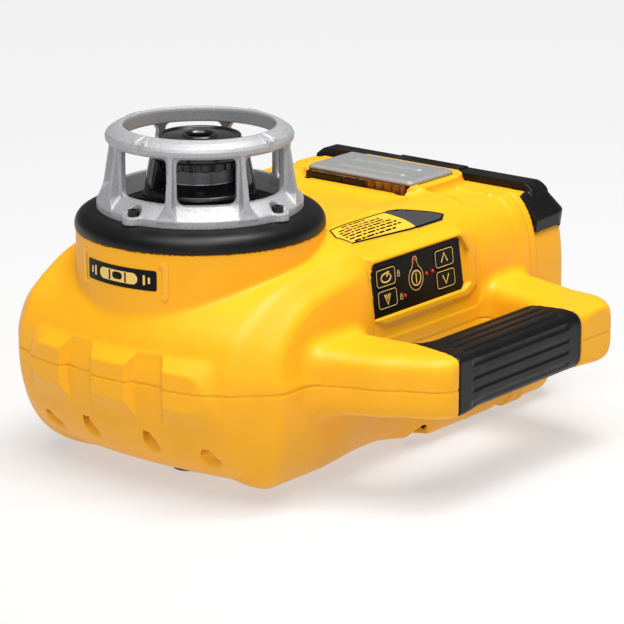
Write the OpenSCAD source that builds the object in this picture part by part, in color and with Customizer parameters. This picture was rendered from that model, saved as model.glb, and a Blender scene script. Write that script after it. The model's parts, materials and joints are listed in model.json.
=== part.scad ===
// Rotating laser level: a self-levelling laser engine with a spinning head, in a two-shell housing
// with a side carrying handle. Millimetres. +X runs from the head end to the battery end, the handle is
// on the -Y side, and +Z is up. Modules are drawn about the head's axis, and place() moves them so that
// the origin is at the centre of the base of the whole object's box.

/* [Housing] */
// Half width of the housing beside the keypad, at the parting line
half_width = 92; // [90:1:93]
// Half width of the rounded head end, at the parting line
bulb_width = 97; // [96:1:98]
// Height of the parting line between the two shells
parting_z = 69; // [66:1:72]
// Wall thickness of the moulded shells
wall = 3; // [2.5:0.1:3.5]
// Distance from the head's axis to the seam of the battery cover
seam_x = 197; // [196:1:199]
// Distance from the head's axis to the back of the battery cover
rear_x = 235; // [234:1:238]

/* [Head] */
// Radius of the rubber ring round the turret
ring_r = 70; // [69:0.5:71]
// Height at which the guard cage stands
seat_z = 150; // [149:0.5:151]
// Height of the guard cage
cage_h = 47; // [46:0.5:50]
// Outer radius of the cage's foot flange
cage_r = 57.5; // [57:0.5:58.5]
// Radius of the round opening in the top of the cage
cage_mouth_r = 42.5; // [41:0.5:44]
// Number of upright ribs in the cage
cage_ribs = 8; // [8:1:8]
// Largest radius of the spinning head
rotor_r = 31; // [29:0.5:32]

/* [Handle] */
// Distance from the housing's middle plane to the middle of the grip
grip_y = 147; // [145:1:150]
// Radius of the grip sleeve
grip_r = 18.5; // [18:0.25:19]
// Start of the grip sleeve along the housing
grip_x0 = 24; // [22:1:28]
// End of the grip sleeve along the housing
grip_x1 = 140; // [136:1:144]

/* [Mounts] */
// Minor radius of the tripod thread, 5/8 inch with 11 threads to the inch
tripod_r = 6.75; // [6.7:0.05:6.8]
// Length of the tripod thread
tripod_h = 14; // [12:1:16]
// Distance from the head's axis to the tripod thread
tripod_x = 75; // [70:1:80]

/* [Keypad] */
// Width of the keypad film
pad_w = 80; // [76:1:82]
// Height of the keypad film
pad_h = 30; // [28:1:31]
// Width of one key
key_w = 18; // [16:0.5:18]
// Height of one key
key_h = 11; // [9:0.5:11]

/* [Hidden] */
$fn = 64;
hull_fn = 20;
eps = 0.01;
gap = 0.1;

yellow = [0.97, 0.70, 0.06];
black = [0.07, 0.07, 0.075];
metal = [0.74, 0.75, 0.76];
steel = [0.55, 0.56, 0.58];
amber = [0.45, 0.20, 0.05];
red = [0.70, 0.10, 0.08];
grey = [0.20, 0.20, 0.21];
board_green = [0.05, 0.30, 0.15];
glass_blue = [0.55, 0.70, 0.80];
brass = [0.75, 0.60, 0.30];

// Outline of the housing at rising heights: height, front end, rear end set back, half width of the head end set
// in, front corner radius, half width beside the keypad set in
body_rows = [
    [4, -29, 13, 31, 34, 14],
    [12, -46, 6, 22, 38, 7],
    [36, -72, 0, 5, 44, 2],
    [69, -81, 0, 0, 46, 0],
    [88, -77, 0, 1.5, 46, 0.5],
    [105, -64, 1, 6, 46, 2],
    [118, -42, 4, 14, 43, 7],
    [125, -10, 8, 24, 38, 12],
    [131, 40, 16, 34, 24, 20],
    [138, 110, 32, 54, 10, 40]];
rear_corner_r = 18;
flank_x0 = 14;         // the flanks step in between these two places
flank_x1 = 48;
bumper_x = -81;        // front of the housing before its bumper pad
pad_proud = 4;         // how far the front bumper pad stands out
slot_proud = 0.8;      // how far the backs of its two upright slots stand out
pad_mid = -3;          // middle of the pad, slightly toward the handle
slot_at = 24.5;        // middle of each slot from the middle of the pad
slot_half = 11.5;
corner_proud = 6;      // how far the battery cover's rubber corners stand out
handle_wall = 6;       // wall thickness of the hollow handle
screw_seat = 42;       // height at which the long screws' heads sit
screw_places = [[-68, 22], [-68, -22], [-56, 57], [-56, -57], [174, 70], [174, -70], [100, 72], [100, -72]];
foot_h = 5;
foot_places = [[-12, 0], [157, 62], [157, -62]];

gimbal_z = 126;        // height at which both levelling axes cross
frame_r = 58;          // radius of the gimbal frame's middle line
frame_z = 66;          // height at which the gimbal frame stands
frame_angles = [65, 155, 245, 335];
leg_angles = [45, 135, 225, 315];
ring_mid_r = 48;       // radius of the gimbal ring's middle line
carrier_r = 42.5;
post_angles = [100, 180, 260];
pin_r = 2;
run = 0.05;            // radial running clearance
spindle_r = 8.5;
motor_x = 28;          // distance from the spindle to the drive motor
pulley_r = 14;
motor_pulley_r = 6;
belt_z = 100.5;
belt_w = 5;
screw_x = -38;         // where the lead screw lifts the carrier
screw_y = 48;          // where the lead screw lifts the gimbal ring
screw_r = 1.5;

pad_x = 83;            // centre of the keypad along the housing
pad_y = -88;
pad_z = 105;
pad_tilt = 7;          // the keypad leans back by this angle
key_dx = 27.3;
key_dz = 6.1;
power_r = 5.5;
light_at = [[0, 10.3], [-11.2, -7.9], [10, 0.4], [15.6, 0.6]];  // power, lock, X and Y lights

board_x0 = 64;         // main board, flat above the tripod bushing
board_x1 = 114;
board_z = 22;
pack_x0 = 123;         // front end of the battery pack
pack_z = 37;
contact_y = 30;
label_y = 52;          // upper edge of the slope that carries the label
label_z = 138;
label_lean = 19.29;
plate_x0 = 143;        // guard plate on top, near the battery end
plate_x1 = 187;
plate_half = 39;
plate_z = 138.7;
deck_z = 136;          // top deck of the turret
ring_z = deck_z + wall;
cage_top = seat_z + cage_h;
flange_h = 4.5;        // thickness of the cage's foot flange
lug_r = cage_r - 2;    // distance from the axis to the cage's four screws
rotor_top = 190;

low_x = bumper_x - pad_proud;
high_x = rear_x + corner_proud / 2;
low_y = -(grip_y + grip_r);
high_y = bulb_width;
module place() translate([-(low_x + high_x) / 2, -(low_y + high_y) / 2, 0]) children();

// ---------- shapes that repeat ----------

module ring(ro, ri, h) difference() {
    cylinder(r = ro, h = h);
    translate([0, 0, -1]) cylinder(r = ri, h = h + 2);
}

module box(x0, x1, y0, y1, z0, z1) translate([x0, y0, z0]) cube([x1 - x0, y1 - y0, z1 - z0]);

module rounded_plate(w, d, h, r) linear_extrude(h)
    union() {
        square([w - 2 * r, d], center = true);
        square([w, d - 2 * r], center = true);
        for (x = [-1, 1], y = [-1, 1]) translate([x * (w / 2 - r), y * (d / 2 - r)]) circle(r);
    }

module screw(head_r, head_h, shank_r, shank_h) {
    difference() {
        cylinder(r = head_r, h = head_h);
        translate([0, 0, head_h - 1.5]) cylinder(r = head_r * 0.55, h = 2, $fn = 6);
    }
    translate([0, 0, -shank_h]) cylinder(r = shank_r, h = shank_h + eps);
}

// The housing's outer form, drawn in by inset on every side: a wide head end whose flanks step in to the
// flat sides that carry the keypad
function row_z(z, inset) = z + (z < 10 ? inset : 0) - (z > 120 ? inset : 0);
module body_form(inset) difference() {
    hull() for (row = body_rows) translate([0, 0, row_z(row[0], inset)]) {
        front_r = row[4] - inset;
        back_r = min(rear_corner_r, row[4]) - min(inset, 3);
        front_w = bulb_width - row[3] - inset - front_r;
        back_w = half_width - row[5] - inset - back_r;
        for (side = [-1, 1]) {
            translate([row[1] + inset + front_r, side * front_w, 0])
                cylinder(r = front_r, h = eps, $fn = hull_fn);
            translate([rear_x - row[2] - inset - back_r, side * back_w, 0])
                cylinder(r = back_r, h = eps, $fn = hull_fn);
        }
    }
    flat = half_width - inset;
    for (side = [0, 1]) mirror([0, side, 0]) translate([0, 0, -10]) linear_extrude(180)
        polygon([[flank_x0, bulb_width], [flank_x1, flat], [300, flat], [300, 130], [flank_x0, 130]]);
}

// A handle arm: a fat bar from the housing's side to the end of the grip
module arm(x_side, x_grip, fat, inset) hull() {
    translate([x_side, -(half_width - 12), parting_z]) rotate([90, 0, 0])
        cylinder(r = fat - inset, h = eps, $fn = hull_fn);
    translate([x_grip, -grip_y, parting_z]) sphere(r = grip_r - inset, $fn = hull_fn);
}

module handle_form(inset) {
    arm(-6, 12, 19, inset);
    arm(167, 163, 19, inset);
    translate([12, -grip_y, parting_z]) rotate([0, 90, 0])
        cylinder(r = grip_r - inset, h = 151, $fn = hull_fn);
}

// The raised block that carries the keypad, flush with the top slope
module keypad_pod() translate([36, 0, 0]) rotate([90, 0, 90]) linear_extrude(116)
    polygon([[-60, 128.5], [-83, 125.5], [-87.6, 121], [-91.4, 90], [-91.8, 78], [-60, 78]]);

// Front bumper pad with sloping upper and lower edges, and two upright slots across it
module sloped_slice(z0, z1, slope, proud, back) hull() {
    translate([0, 0, z0 + slope]) linear_extrude(z1 - z0 - 2 * slope) plan_outline(-proud);
    translate([0, 0, z0]) linear_extrude(z1 - z0) plan_outline(back);
}

module pad_slots() for (s = [-1, 1])
    box(-100, -60, pad_mid + s * slot_at - slot_half, pad_mid + s * slot_at + slot_half, 44, 92);

module front_pad() {
    difference() {
        intersection() {
            sloped_slice(46, 90, 9, pad_proud, 3);
            box(-100, -50, pad_mid - 64, pad_mid + 64, 44, 92);
        }
        pad_slots();
    }
    intersection() {
        sloped_slice(49, 86, 1, slot_proud, 1);
        pad_slots();
    }
}

module housing_solid() {
    body_form(0);
    front_pad();
    keypad_pod();
    translate([0, 0, 80]) cylinder(r = ring_r - 0.5, h = ring_z - 80);
}

// Upright posts moulded inside the shells, for the long screws, the gimbal frame and the main board
module inner_posts() intersection() {
    union() {
        for (s = screw_places) translate([s[0], s[1], 0]) cylinder(r = 4.5, h = 140, $fn = hull_fn);
        for (a = frame_angles) rotate([0, 0, a]) translate([frame_r, 0, 0])
            cylinder(r = 5, h = frame_z, $fn = hull_fn);
        for (x = [board_x0 + 5, board_x1 - 5], y = [-55, 55]) translate([x, y, 0])
            cylinder(r = 3, h = board_z, $fn = hull_fn);
    }
    body_form(0.5);
}

module housing_shell() difference() {
    union() {
        difference() {
            housing_solid();
            body_form(wall);
            translate([0, 0, 40]) cylinder(r = ring_r - 0.5 - wall, h = deck_z - 40);
            translate([0, 0, 100]) cylinder(r = 50, h = 60);
        }
        difference() {
            handle_form(0);
            handle_form(handle_wall);
            body_form(wall);
        }
        inner_posts();
        // well below the guard plate
        box(plate_x0 - 11, plate_x1 - 1, -38, 38, 119.5, 136);
    }
    // room for the grip sleeve
    translate([grip_x0, -grip_y, parting_z]) rotate([0, 90, 0])
        difference() {
            cylinder(r = grip_r + 1, h = grip_x1 - grip_x0);
            translate([0, 0, -1]) cylinder(r = grip_r - 2.5 - gap, h = grip_x1 - grip_x0 + 2);
        }
    // the battery end is open
    box(seam_x, 300, -150, 150, -10, 160);
    // keypad recess
    pad_frame() translate([0, 0, -4.4]) rounded_plate(pad_w + 0.6, pad_h + 0.6, 20, 4);
    // window below the guard plate
    box(plate_x0 - 9, plate_x1 - 3, -36, 36, 122, 160);
    // screw channels
    for (s = screw_places) translate([s[0], s[1], -5]) {
        cylinder(r = 4, h = screw_seat + 5, $fn = hull_fn);
        cylinder(r = 1.6, h = screw_seat + 45, $fn = hull_fn);
    }
}

// Children are drawn on the keypad's face: X along it, Y up it, Z out of the housing
module pad_frame() translate([pad_x, pad_y, pad_z]) rotate([90 - pad_tilt, 0, 0]) children();

// ---------- housing ----------

module upper_housing() color(yellow) difference() {
    housing_shell();
    box(-200, 300, -200, 200, -10, parting_z + gap);
}

module lower_housing() color(yellow) difference() {
    housing_shell();
    box(-200, 300, -200, 200, parting_z - gap, 250);
    translate([tripod_x, 0, -1]) cylinder(r = 13, h = 20);
    for (f = foot_places) translate([f[0], f[1], 0]) cylinder(r = 6, h = 20);
}

module housing_gasket() color(black) translate([0, 0, parting_z - 0.8]) difference() {
    linear_extrude(1.6) difference() {
        plan_outline(wall + 1);
        plan_outline(wall + 2.7);
    }
    box(seam_x - 1, 300, -150, 150, -10, 10);
}

// Plan outline of the housing at the parting line, drawn in by inset
module plan_outline(inset) {
    w = half_width - inset;
    bulge = bulb_width - inset;
    r = 46 - inset;
    x0 = bumper_x + inset;
    translate([flank_x1, -w]) square([rear_x - inset - flank_x1, 2 * w]);
    translate([x0, -(bulge - r)]) square([100, 2 * (bulge - r)]);
    for (side = [-1, 1]) {
        translate([x0 + r, side * (bulge - r)]) circle(r);
        polygon([[x0 + r, 0], [x0 + r, side * bulge], [flank_x0, side * bulge], [flank_x1, side * w], [flank_x1, 0]]);
    }
}

module housing_screws() color(steel) for (s = screw_places) translate([s[0], s[1], screw_seat])
    rotate([180, 0, 0]) screw(3.4, 2.6, 1.55, 36);

module rubber_feet() color(black) for (f = foot_places) translate([f[0], f[1], 0]) {
    cylinder(r = 9, h = foot_h - 1.2);
    translate([0, 0, foot_h - 1.3]) cylinder(r = 5.9, h = 6);
}

module tripod_bushing() color(metal) translate([tripod_x, 0, 3]) difference() {
    union() {
        cylinder(r = 12.8, h = tripod_h);
        translate([0, 0, 4.5]) cylinder(r = 17, h = 3);
    }
    translate([0, 0, -1]) cylinder(r = tripod_r, h = tripod_h + 2);
}

module handle_grip() color(black) translate([grip_x0 + gap, -grip_y, parting_z]) rotate([0, 90, 0])
    difference() {
        union() {
            cylinder(r = grip_r - 0.9, h = grip_x1 - grip_x0 - 2 * gap);
            for (a = [0:30:330]) rotate([0, 0, a]) translate([0, -3, 5])
                cube([grip_r, 6, grip_x1 - grip_x0 - 10]);
            for (z = [0, grip_x1 - grip_x0 - 5]) translate([0, 0, z]) cylinder(r = grip_r, h = 5 - gap);
        }
        translate([0, 0, -1]) cylinder(r = grip_r - 2.5, h = 200);
    }

// ---------- turret and guard ----------

module turret_bumper() color(black) difference() {
    rotate_extrude() {
        translate([50.2, ring_z + gap]) square([7.5, seat_z - ring_z - gap]);
        translate([57, ring_z + gap]) square([ring_r - 57, 5.5]);
        intersection() {
            translate([ring_r - 11.5, ring_z + 4]) scale([1, 0.6]) circle(11.5);
            translate([50, ring_z + gap]) square([30, seat_z - ring_z - gap]);
        }
        translate([52, ring_z + gap]) square([ring_r - 63.5, seat_z - ring_z - 1]);
    }
    for (a = [0:90:270]) rotate([0, 0, a]) translate([lug_r, 0, ring_z - 1]) cylinder(r = 1.8, h = 20);
}

module guard_cage() color(metal) difference() {
    union() {
        translate([0, 0, seat_z]) ring(cage_r, 47, flange_h);
        for (a = [0:90:270]) rotate([0, 0, a]) translate([lug_r, 0, seat_z]) cylinder(r = 6.5, h = flange_h);
        // top ring with a sloping outer face
        rotate_extrude() polygon([[cage_mouth_r, cage_top - 9.5], [51, cage_top - 9.5], [52, cage_top - 8],
            [52, cage_top - 4.5], [50, cage_top - 3], [44, cage_top], [cage_mouth_r, cage_top]]);
        for (a = [0:90:270]) rotate([0, 0, a]) translate([47.5, 0, cage_top - 6]) cylinder(r = 2.6, h = 5.4);
        // upright ribs
        for (i = [0:cage_ribs - 1]) rotate([0, 0, (i + 0.5) * 360 / cage_ribs])
            rotate([90, 0, 0]) translate([0, 0, -1.6]) linear_extrude(3.2)
                polygon([[47, seat_z + 2], [57, seat_z + 2], [56, seat_z + 6], [51.5, cage_top - 8], [44, cage_top - 8],
                    [47, cage_top - 14], [48.5, seat_z + 8]]);
    }
    for (a = [0:90:270]) rotate([0, 0, a]) translate([lug_r, 0, seat_z - 1]) cylinder(r = 2, h = 10);
}

module cage_screws() color(black) for (a = [0:90:270]) rotate([0, 0, a])
    translate([lug_r, 0, seat_z + flange_h]) screw(3.2, 3.2, 1.7, 15);

module dust_dish() color(black) difference() {
    union() {
        rotate_extrude() polygon([[24, 146.5], [49.8, 146.5], [49.8, 149.9], [46, 149.9], [42, 148.3], [24, 148.3]]);
        for (a = [0:10:350]) rotate([0, 0, a]) translate([30, -0.6, 148]) cube([14, 1.2, 1.2]);
    }
    translate([0, 0, 140]) cylinder(r = 24, h = 12);
}

module front_badge() color(yellow) intersection() {
    translate([0, 0, 110]) ring(ring_r + 0.7, ring_r - 0.5 + eps, 24);
    rotate([0, 0, 180 - 27]) rotate_extrude(angle = 54) translate([40, 0]) square([60, 200]);
}

// The blank information label lies on the slope beside the turret
module info_label() color(black) intersection() {
    translate([0, -label_y, label_z]) rotate([label_lean, 0, 0]) translate([0, label_y, 0]) linear_extrude(0.4)
        polygon([[72, -52.5], [104, -52.5], [131, -66], [130, -70.5], [63, -70.5], [60, -65]]);
    box(0, 200, -100, 0, 100, 160);
}

module guard_plate() color(metal) {
    translate([(plate_x0 + plate_x1) / 2, 0, plate_z]) rounded_plate(plate_x1 - plate_x0, 2 * plate_half, 3, 5);
    for (x = [-7, 7]) translate([(plate_x0 + plate_x1) / 2 + x, 0, plate_z + 2.9]) rounded_plate(4, 52, 0.8, 1.9);
}

module sensor_window() color(amber) difference() {
    union() {
        box(plate_x0 - 2, plate_x1 - 4, -35, 35, 122, plate_z - gap);
        for (y = [-33:6:33]) box(plate_x0 - 3.2, plate_x0 - 1, y - 0.8, y + 0.8, 125, plate_z - 0.5);
    }
    box(plate_x0 + 1, plate_x1 - 7, -32, 32, 121, plate_z - 3);
}

module sensor_board() color(board_green) box(plate_x0 + 2, plate_x1 - 8, -31, 31, 122, 123.6);

// ---------- keypad ----------

module keypad_panel() color(black) pad_frame() difference() {
    translate([0, 0, -2]) rounded_plate(pad_w, pad_h, 2, 4);
    for (x = [-key_dx, key_dx], z = [-key_dz, key_dz]) translate([x, z, -3])
        rounded_plate(key_w + 0.6, key_h + 0.6, 5, 2.3);
    translate([0, 0, -3]) cylinder(r = power_r + 0.3, h = 5);
    for (p = light_at) translate([p[0], p[1], -3]) cylinder(r = 1.3, h = 5);
}

module key_cap(x, y) color(black) pad_frame() translate([x, y, -1.8]) rounded_plate(key_w, key_h, 2, 2);
module key_rotation() key_cap(-key_dx, key_dz);
module key_scan() key_cap(-key_dx, -key_dz);
module key_up() key_cap(key_dx, key_dz);
module key_down() key_cap(key_dx, -key_dz);
module key_power() color(black) pad_frame() translate([0, 0, -1.8]) cylinder(r = power_r, h = 2);

module status_lights() color(red) pad_frame() for (p = light_at) translate([p[0], p[1], -2.8]) {
    cylinder(r = 1.2, h = 2.6);
    translate([0, 0, 2.6]) cylinder(r1 = 1.2, r2 = 0.7, h = 0.4);
}

module keypad_board() color(board_green) pad_frame() translate([0, 0, -4.2]) rounded_plate(pad_w - 8, pad_h - 4, 1.4, 2);

// ---------- levelling gimbal ----------

module gimbal_frame() color(steel) difference() {
    union() {
        translate([0, 0, gimbal_z - 6]) ring(frame_r + 4, frame_r - 4, 12);
        translate([0, 0, frame_z]) ring(frame_r + 4, frame_r - 6, 4);
        translate([screw_x, 0, frame_z]) rounded_plate(22, 20, 4, 4);
        translate([-50, 0, frame_z]) rounded_plate(10, 16, 4, 3);
        translate([0, screw_y, frame_z]) rounded_plate(20, 22, 4, 4);
        for (a = leg_angles) rotate([0, 0, a]) translate([frame_r, 0, frame_z + 1])
            cylinder(r = 3.8, h = gimbal_z - frame_z);
    }
    for (s = [0, 180]) rotate([0, 0, s]) translate([40, 0, gimbal_z]) rotate([0, 90, 0]) cylinder(r = pin_r, h = 30);
    translate([screw_x, 0, 60]) cylinder(r = 4, h = 12);
    translate([0, screw_y, 60]) cylinder(r = 4, h = 12);
}

module frame_screws() color(steel) for (a = frame_angles) rotate([0, 0, a])
    translate([frame_r, 0, frame_z + 4]) screw(2.8, 2.2, 1.4, 0);

module ring_pins() color(metal) for (s = [0, 180]) rotate([0, 0, s])
    translate([46, 0, gimbal_z]) rotate([0, 90, 0]) cylinder(r = pin_r, h = 16);

module gimbal_ring() color(metal) translate([0, 0, gimbal_z]) difference() {
    translate([0, 0, -5]) ring(ring_mid_r + 4.5, ring_mid_r - 4, 10);
    for (s = [0, 180]) rotate([0, 0, s]) translate([30, 0, 0]) rotate([0, 90, 0]) cylinder(r = pin_r + run, h = 40);
    for (s = [90, 270]) rotate([0, 0, s]) translate([30, 0, 0]) rotate([0, 90, 0]) cylinder(r = pin_r, h = 40);
}

module carrier_pins() color(metal) for (s = [90, 270]) rotate([0, 0, s])
    translate([37, 0, gimbal_z]) rotate([0, 90, 0]) cylinder(r = pin_r, h = 15);

module laser_carrier() color(steel) difference() {
    union() {
        translate([0, 0, gimbal_z - 4]) cylinder(r = carrier_r, h = 8);
        translate([0, 0, 110]) cylinder(r = 17, h = 40);
        translate([11, 0, 95.5]) rounded_plate(64, 52, 3, 8);
        for (a = post_angles) rotate([0, 0, a]) translate([21, 0, 98]) cylinder(r = 3, h = 26);
    }
    translate([0, 0, 105]) cylinder(r = 10, h = 50);
    for (z = [109, 145]) translate([0, 0, z]) cylinder(r = 13, h = 6);
    translate([0, 0, 90]) cylinder(r = 8, h = 12);
    translate([motor_x, 0, 90]) cylinder(r = 4, h = 12);
    for (s = [90, 270]) rotate([0, 0, s]) translate([36, 0, gimbal_z]) rotate([0, 90, 0])
        cylinder(r = pin_r + run, h = 20);
}

module spindle_bearings() color(steel) for (z = [110, 145]) translate([0, 0, z]) ring(13, spindle_r + run, 5);

module laser_module() color(brass) difference() {
    union() {
        translate([0, 0, 62]) cylinder(r = 7.95, h = 35);
        translate([0, 0, 91.5]) cylinder(r = 11, h = 4);
    }
    translate([0, 0, 70]) cylinder(r = 4.5, h = 30);
}

module collimator_lens() color(glass_blue) translate([0, 0, 90]) cylinder(r = 4.5, h = 4);

module tilt_vials() color(glass_blue) {
    translate([-27, -11, gimbal_z + 8]) rotate([-90, 0, 0]) cylinder(r = 4, h = 22);
    translate([-11, -28, gimbal_z + 8]) rotate([0, 90, 0]) cylinder(r = 4, h = 22);
}

module drive_motor() color(metal) translate([motor_x, 0, 0]) {
    translate([0, 0, 72]) cylinder(r = 11, h = 23.5);
    translate([0, 0, 95]) cylinder(r = 3.9, h = 3.5);
    translate([0, 0, 98]) cylinder(r = 1, h = 9);
}

// The outside of a belt round two pulleys
module belt_outline(grow) {
    lean = asin((pulley_r - motor_pulley_r) / motor_x);
    union() {
        circle(pulley_r + grow);
        translate([motor_x, 0]) circle(motor_pulley_r + grow);
        polygon([for (s = [-1, 1], c = s < 0 ? [[0, pulley_r], [motor_x, motor_pulley_r]]
            : [[motor_x, motor_pulley_r], [0, pulley_r]])
            [c[0] + (c[1] + grow) * sin(lean), s * (c[1] + grow) * cos(lean)]]);
    }
}

module drive_belt() color(black) translate([0, 0, belt_z + 0.5]) linear_extrude(belt_w - 1) difference() {
    belt_outline(1.1);
    belt_outline(0.1);
}

module motor_pulley() color(metal) translate([motor_x, 0, belt_z]) difference() {
    cylinder(r = motor_pulley_r, h = belt_w);
    translate([0, 0, -1]) cylinder(r = 1 + run, h = 10);
}

module level_motor(x, y) color(steel) translate([x, y, 0]) {
    translate([0, 0, 40]) cylinder(r = 8, h = 26);
    translate([0, 0, 65.9]) cylinder(r = 3.9, h = 4.5);
}
module level_motor_x() level_motor(screw_x, 0);
module level_motor_y() level_motor(0, screw_y);

module lead_screw(x, y, top) color(metal) translate([x, y, 70.6]) cylinder(r = screw_r, h = top - 70.6);
module lead_screw_x() lead_screw(screw_x, 0, 113);
module lead_screw_y() lead_screw(0, screw_y, 113);

module lead_nut(x, y, top) color(brass) translate([x, y, 0]) difference() {
    union() {
        translate([0, 0, top - 26]) cylinder(r = 4.5, h = 12);
        translate([0, 0, top - 15]) cylinder(r = 3.4, h = 12);
        translate([0, 0, top - 4]) cylinder(r1 = 3.4, r2 = 1.5, h = 4);
    }
    translate([0, 0, top - 30]) cylinder(r = screw_r + run, h = 28.5);
}
module lead_nut_x() lead_nut(screw_x, 0, gimbal_z - 4.6);
module lead_nut_y() lead_nut(0, screw_y, gimbal_z - 5.8);

// ---------- spinning head ----------

module spindle() color(metal) difference() {
    union() {
        translate([0, 0, 98.8]) cylinder(r = spindle_r, h = 60);
        translate([0, 0, 155.5]) cylinder(r = 20, h = 2);
    }
    translate([0, 0, 98]) cylinder(r = 5.5, h = 70);
}

module rotor_pulley() color(metal) translate([0, 0, belt_z]) ring(pulley_r, spindle_r, belt_w);

module rotor_body() color(black) difference() {
    union() {
        // skirt, drum and sloping cap
        rotate_extrude() polygon([[spindle_r, 157.6], [20.2, 157.6], [20.2, 155.5], [rotor_r, 155.5], [rotor_r, 160],
            [rotor_r - 3, 161], [spindle_r, 161]]);
        rotate_extrude() polygon([[7, 181], [rotor_r - 3.5, 178], [rotor_r - 4, 182], [22, 189], [21.5, rotor_top],
            [7, rotor_top]]);
        for (s = [0, 180]) rotate([0, 0, s + 6.6]) rotate_extrude(angle = 64)
            polygon([[22.5, 159], [rotor_r - 0.5, 159], [rotor_r - 0.8, 166], [rotor_r - 5, 179.5], [22.5, 179.5]]);
    }
    translate([0, 0, 150]) cylinder(r = spindle_r + run, h = 12);
    translate([0, 0, 180]) cylinder(r = 6.5, h = 20);
}

module rotor_window() color(black) translate([0, 0, 161]) ring(21.9, 20.2, 17.6);

module pentaprism() color(glass_blue) translate([-9, -9, 161]) rotate([90, 0, 90]) linear_extrude(18)
    polygon([[0, 0], [18, 0], [18, 13], [9, 18.5], [0, 13]]);

module zenith_lens() color(glass_blue) translate([0, 0, 184]) cylinder(r = 6.5, h = 2.5);

// ---------- power ----------

module main_board() color(board_green) {
    box(board_x0, board_x1, -60, 60, board_z, board_z + 1.6);
    for (p = [[76, -30], [96, -8], [100, 34]]) box(p[0], p[0] + 8, p[1], p[1] + 12, board_z + 1.5, board_z + 5);
}

module battery_contacts() color(brass) {
    box(117, 119, -50, 50, 7.2, 74);
    for (y = [-contact_y, contact_y]) box(118.9, 121.5, y - 6, y + 6, 44, 56);
}

module battery_cover() color(yellow) difference() {
    body_form(0.4);
    difference() {
        body_form(wall);
        box(rear_x - wall, 300, -150, 150, -10, 160);
    }
    box(-200, seam_x + 0.4, -200, 200, -10, 200);
    box(206.5, 223, -13, 13, 125, 150);
}

module cover_bumper() color(black) difference() {
    union() {
        intersection() {
            body_form(-corner_proud);
            union() for (s = [-1, 1]) scale([1, s, 1]) box(seam_x + 0.5, high_x, 66, 120, 104, 160);
        }
        intersection() {
            body_form(-4);
            box(206, 222, -70, 70, 120, 160);
        }
    }
    body_form(0.3);
    box(200, 230, -26, 26, 129, 160);
}

module battery_latch() color(black) {
    intersection() {
        difference() {
            body_form(-4.6);
            body_form(-2);
        }
        box(206.5, 221.5, -25.5, 25.5, 120, 160);
    }
    // hook that reaches down through the cover
    box(208, 217, -11, 11, 127.5, 136.2);
}

module battery_pack() color(grey) difference() {
    translate([(pack_x0 + rear_x - wall) / 2, 0, pack_z]) rounded_plate(rear_x - wall - pack_x0, 116, 50, 8);
    for (y = [-contact_y, contact_y]) box(pack_x0 - 1, pack_x0 + 2, y - 8, y + 8, 42, 58);
}

// ---------- assembly ----------

place() upper_housing();
place() lower_housing();
place() housing_gasket();
place() housing_screws();
place() rubber_feet();
place() tripod_bushing();
place() handle_grip();
place() turret_bumper();
place() guard_cage();
place() cage_screws();
place() dust_dish();
place() front_badge();
place() info_label();
place() guard_plate();
place() sensor_window();
place() sensor_board();
place() keypad_panel();
place() keypad_board();
place() status_lights();
place() key_rotation();
place() key_scan();
place() key_power();
place() key_up();
place() key_down();
place() gimbal_frame();
place() frame_screws();
place() ring_pins();
place() gimbal_ring();
place() carrier_pins();
place() laser_carrier();
place() spindle_bearings();
place() laser_module();
place() collimator_lens();
place() tilt_vials();
place() drive_motor();
place() drive_belt();
place() motor_pulley();
place() spindle();
place() rotor_pulley();
place() rotor_body();
place() rotor_window();
place() pentaprism();
place() zenith_lens();
place() level_motor_x();
place() level_motor_y();
place() lead_screw_x();
place() lead_screw_y();
place() lead_nut_x();
place() lead_nut_y();
place() main_board();
place() battery_contacts();
place() battery_cover();
place() cover_bumper();
place() battery_latch();
place() battery_pack();
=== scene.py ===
"""Looks of the rotating laser level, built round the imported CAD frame.

The smooth cast and moulded parts are drawn as distance fields in millimetres about the head's axis
(head frame: +X to the battery end, -Y to the handle side, +Z up), meshed here and moved into the row frame.
"""
import json
import math
from math import cos, pi, radians, sin

import bmesh
import bpy
import numpy as np
from mathutils import Matrix, Vector
from numpy import hypot, maximum, minimum


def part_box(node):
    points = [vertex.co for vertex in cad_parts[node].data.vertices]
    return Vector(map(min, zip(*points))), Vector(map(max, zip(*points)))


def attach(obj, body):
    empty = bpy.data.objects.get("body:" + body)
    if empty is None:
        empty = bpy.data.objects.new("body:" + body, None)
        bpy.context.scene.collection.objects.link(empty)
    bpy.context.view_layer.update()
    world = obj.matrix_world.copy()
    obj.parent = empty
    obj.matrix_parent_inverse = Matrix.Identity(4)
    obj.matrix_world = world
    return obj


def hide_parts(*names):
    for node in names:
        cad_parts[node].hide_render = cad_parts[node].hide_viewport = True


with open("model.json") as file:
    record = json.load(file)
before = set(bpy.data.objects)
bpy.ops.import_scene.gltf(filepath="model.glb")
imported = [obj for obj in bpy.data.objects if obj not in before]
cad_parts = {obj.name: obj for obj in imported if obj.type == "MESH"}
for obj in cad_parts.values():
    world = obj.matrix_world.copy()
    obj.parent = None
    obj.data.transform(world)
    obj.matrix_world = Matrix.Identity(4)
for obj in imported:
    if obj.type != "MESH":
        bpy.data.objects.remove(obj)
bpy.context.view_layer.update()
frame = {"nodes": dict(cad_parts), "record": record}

MM = 0.001
ring_low, ring_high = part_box("turret_bumper")
AXIS = np.array([(ring_low.x + ring_high.x) / 2, (ring_low.y + ring_high.y) / 2, 0.0])
HEAD = Matrix.Translation(Vector(AXIS)) @ Matrix.Scale(MM, 4)      # head frame in mm -> row frame in m
PARTING = 69.0          # height of the parting line between the shells
SEAM_X = 197.0          # seam of the battery cover
RING_R = 70.0           # outer radius of the rubber ring round the turret
TURRET_R = RING_R - 0.6
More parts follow.
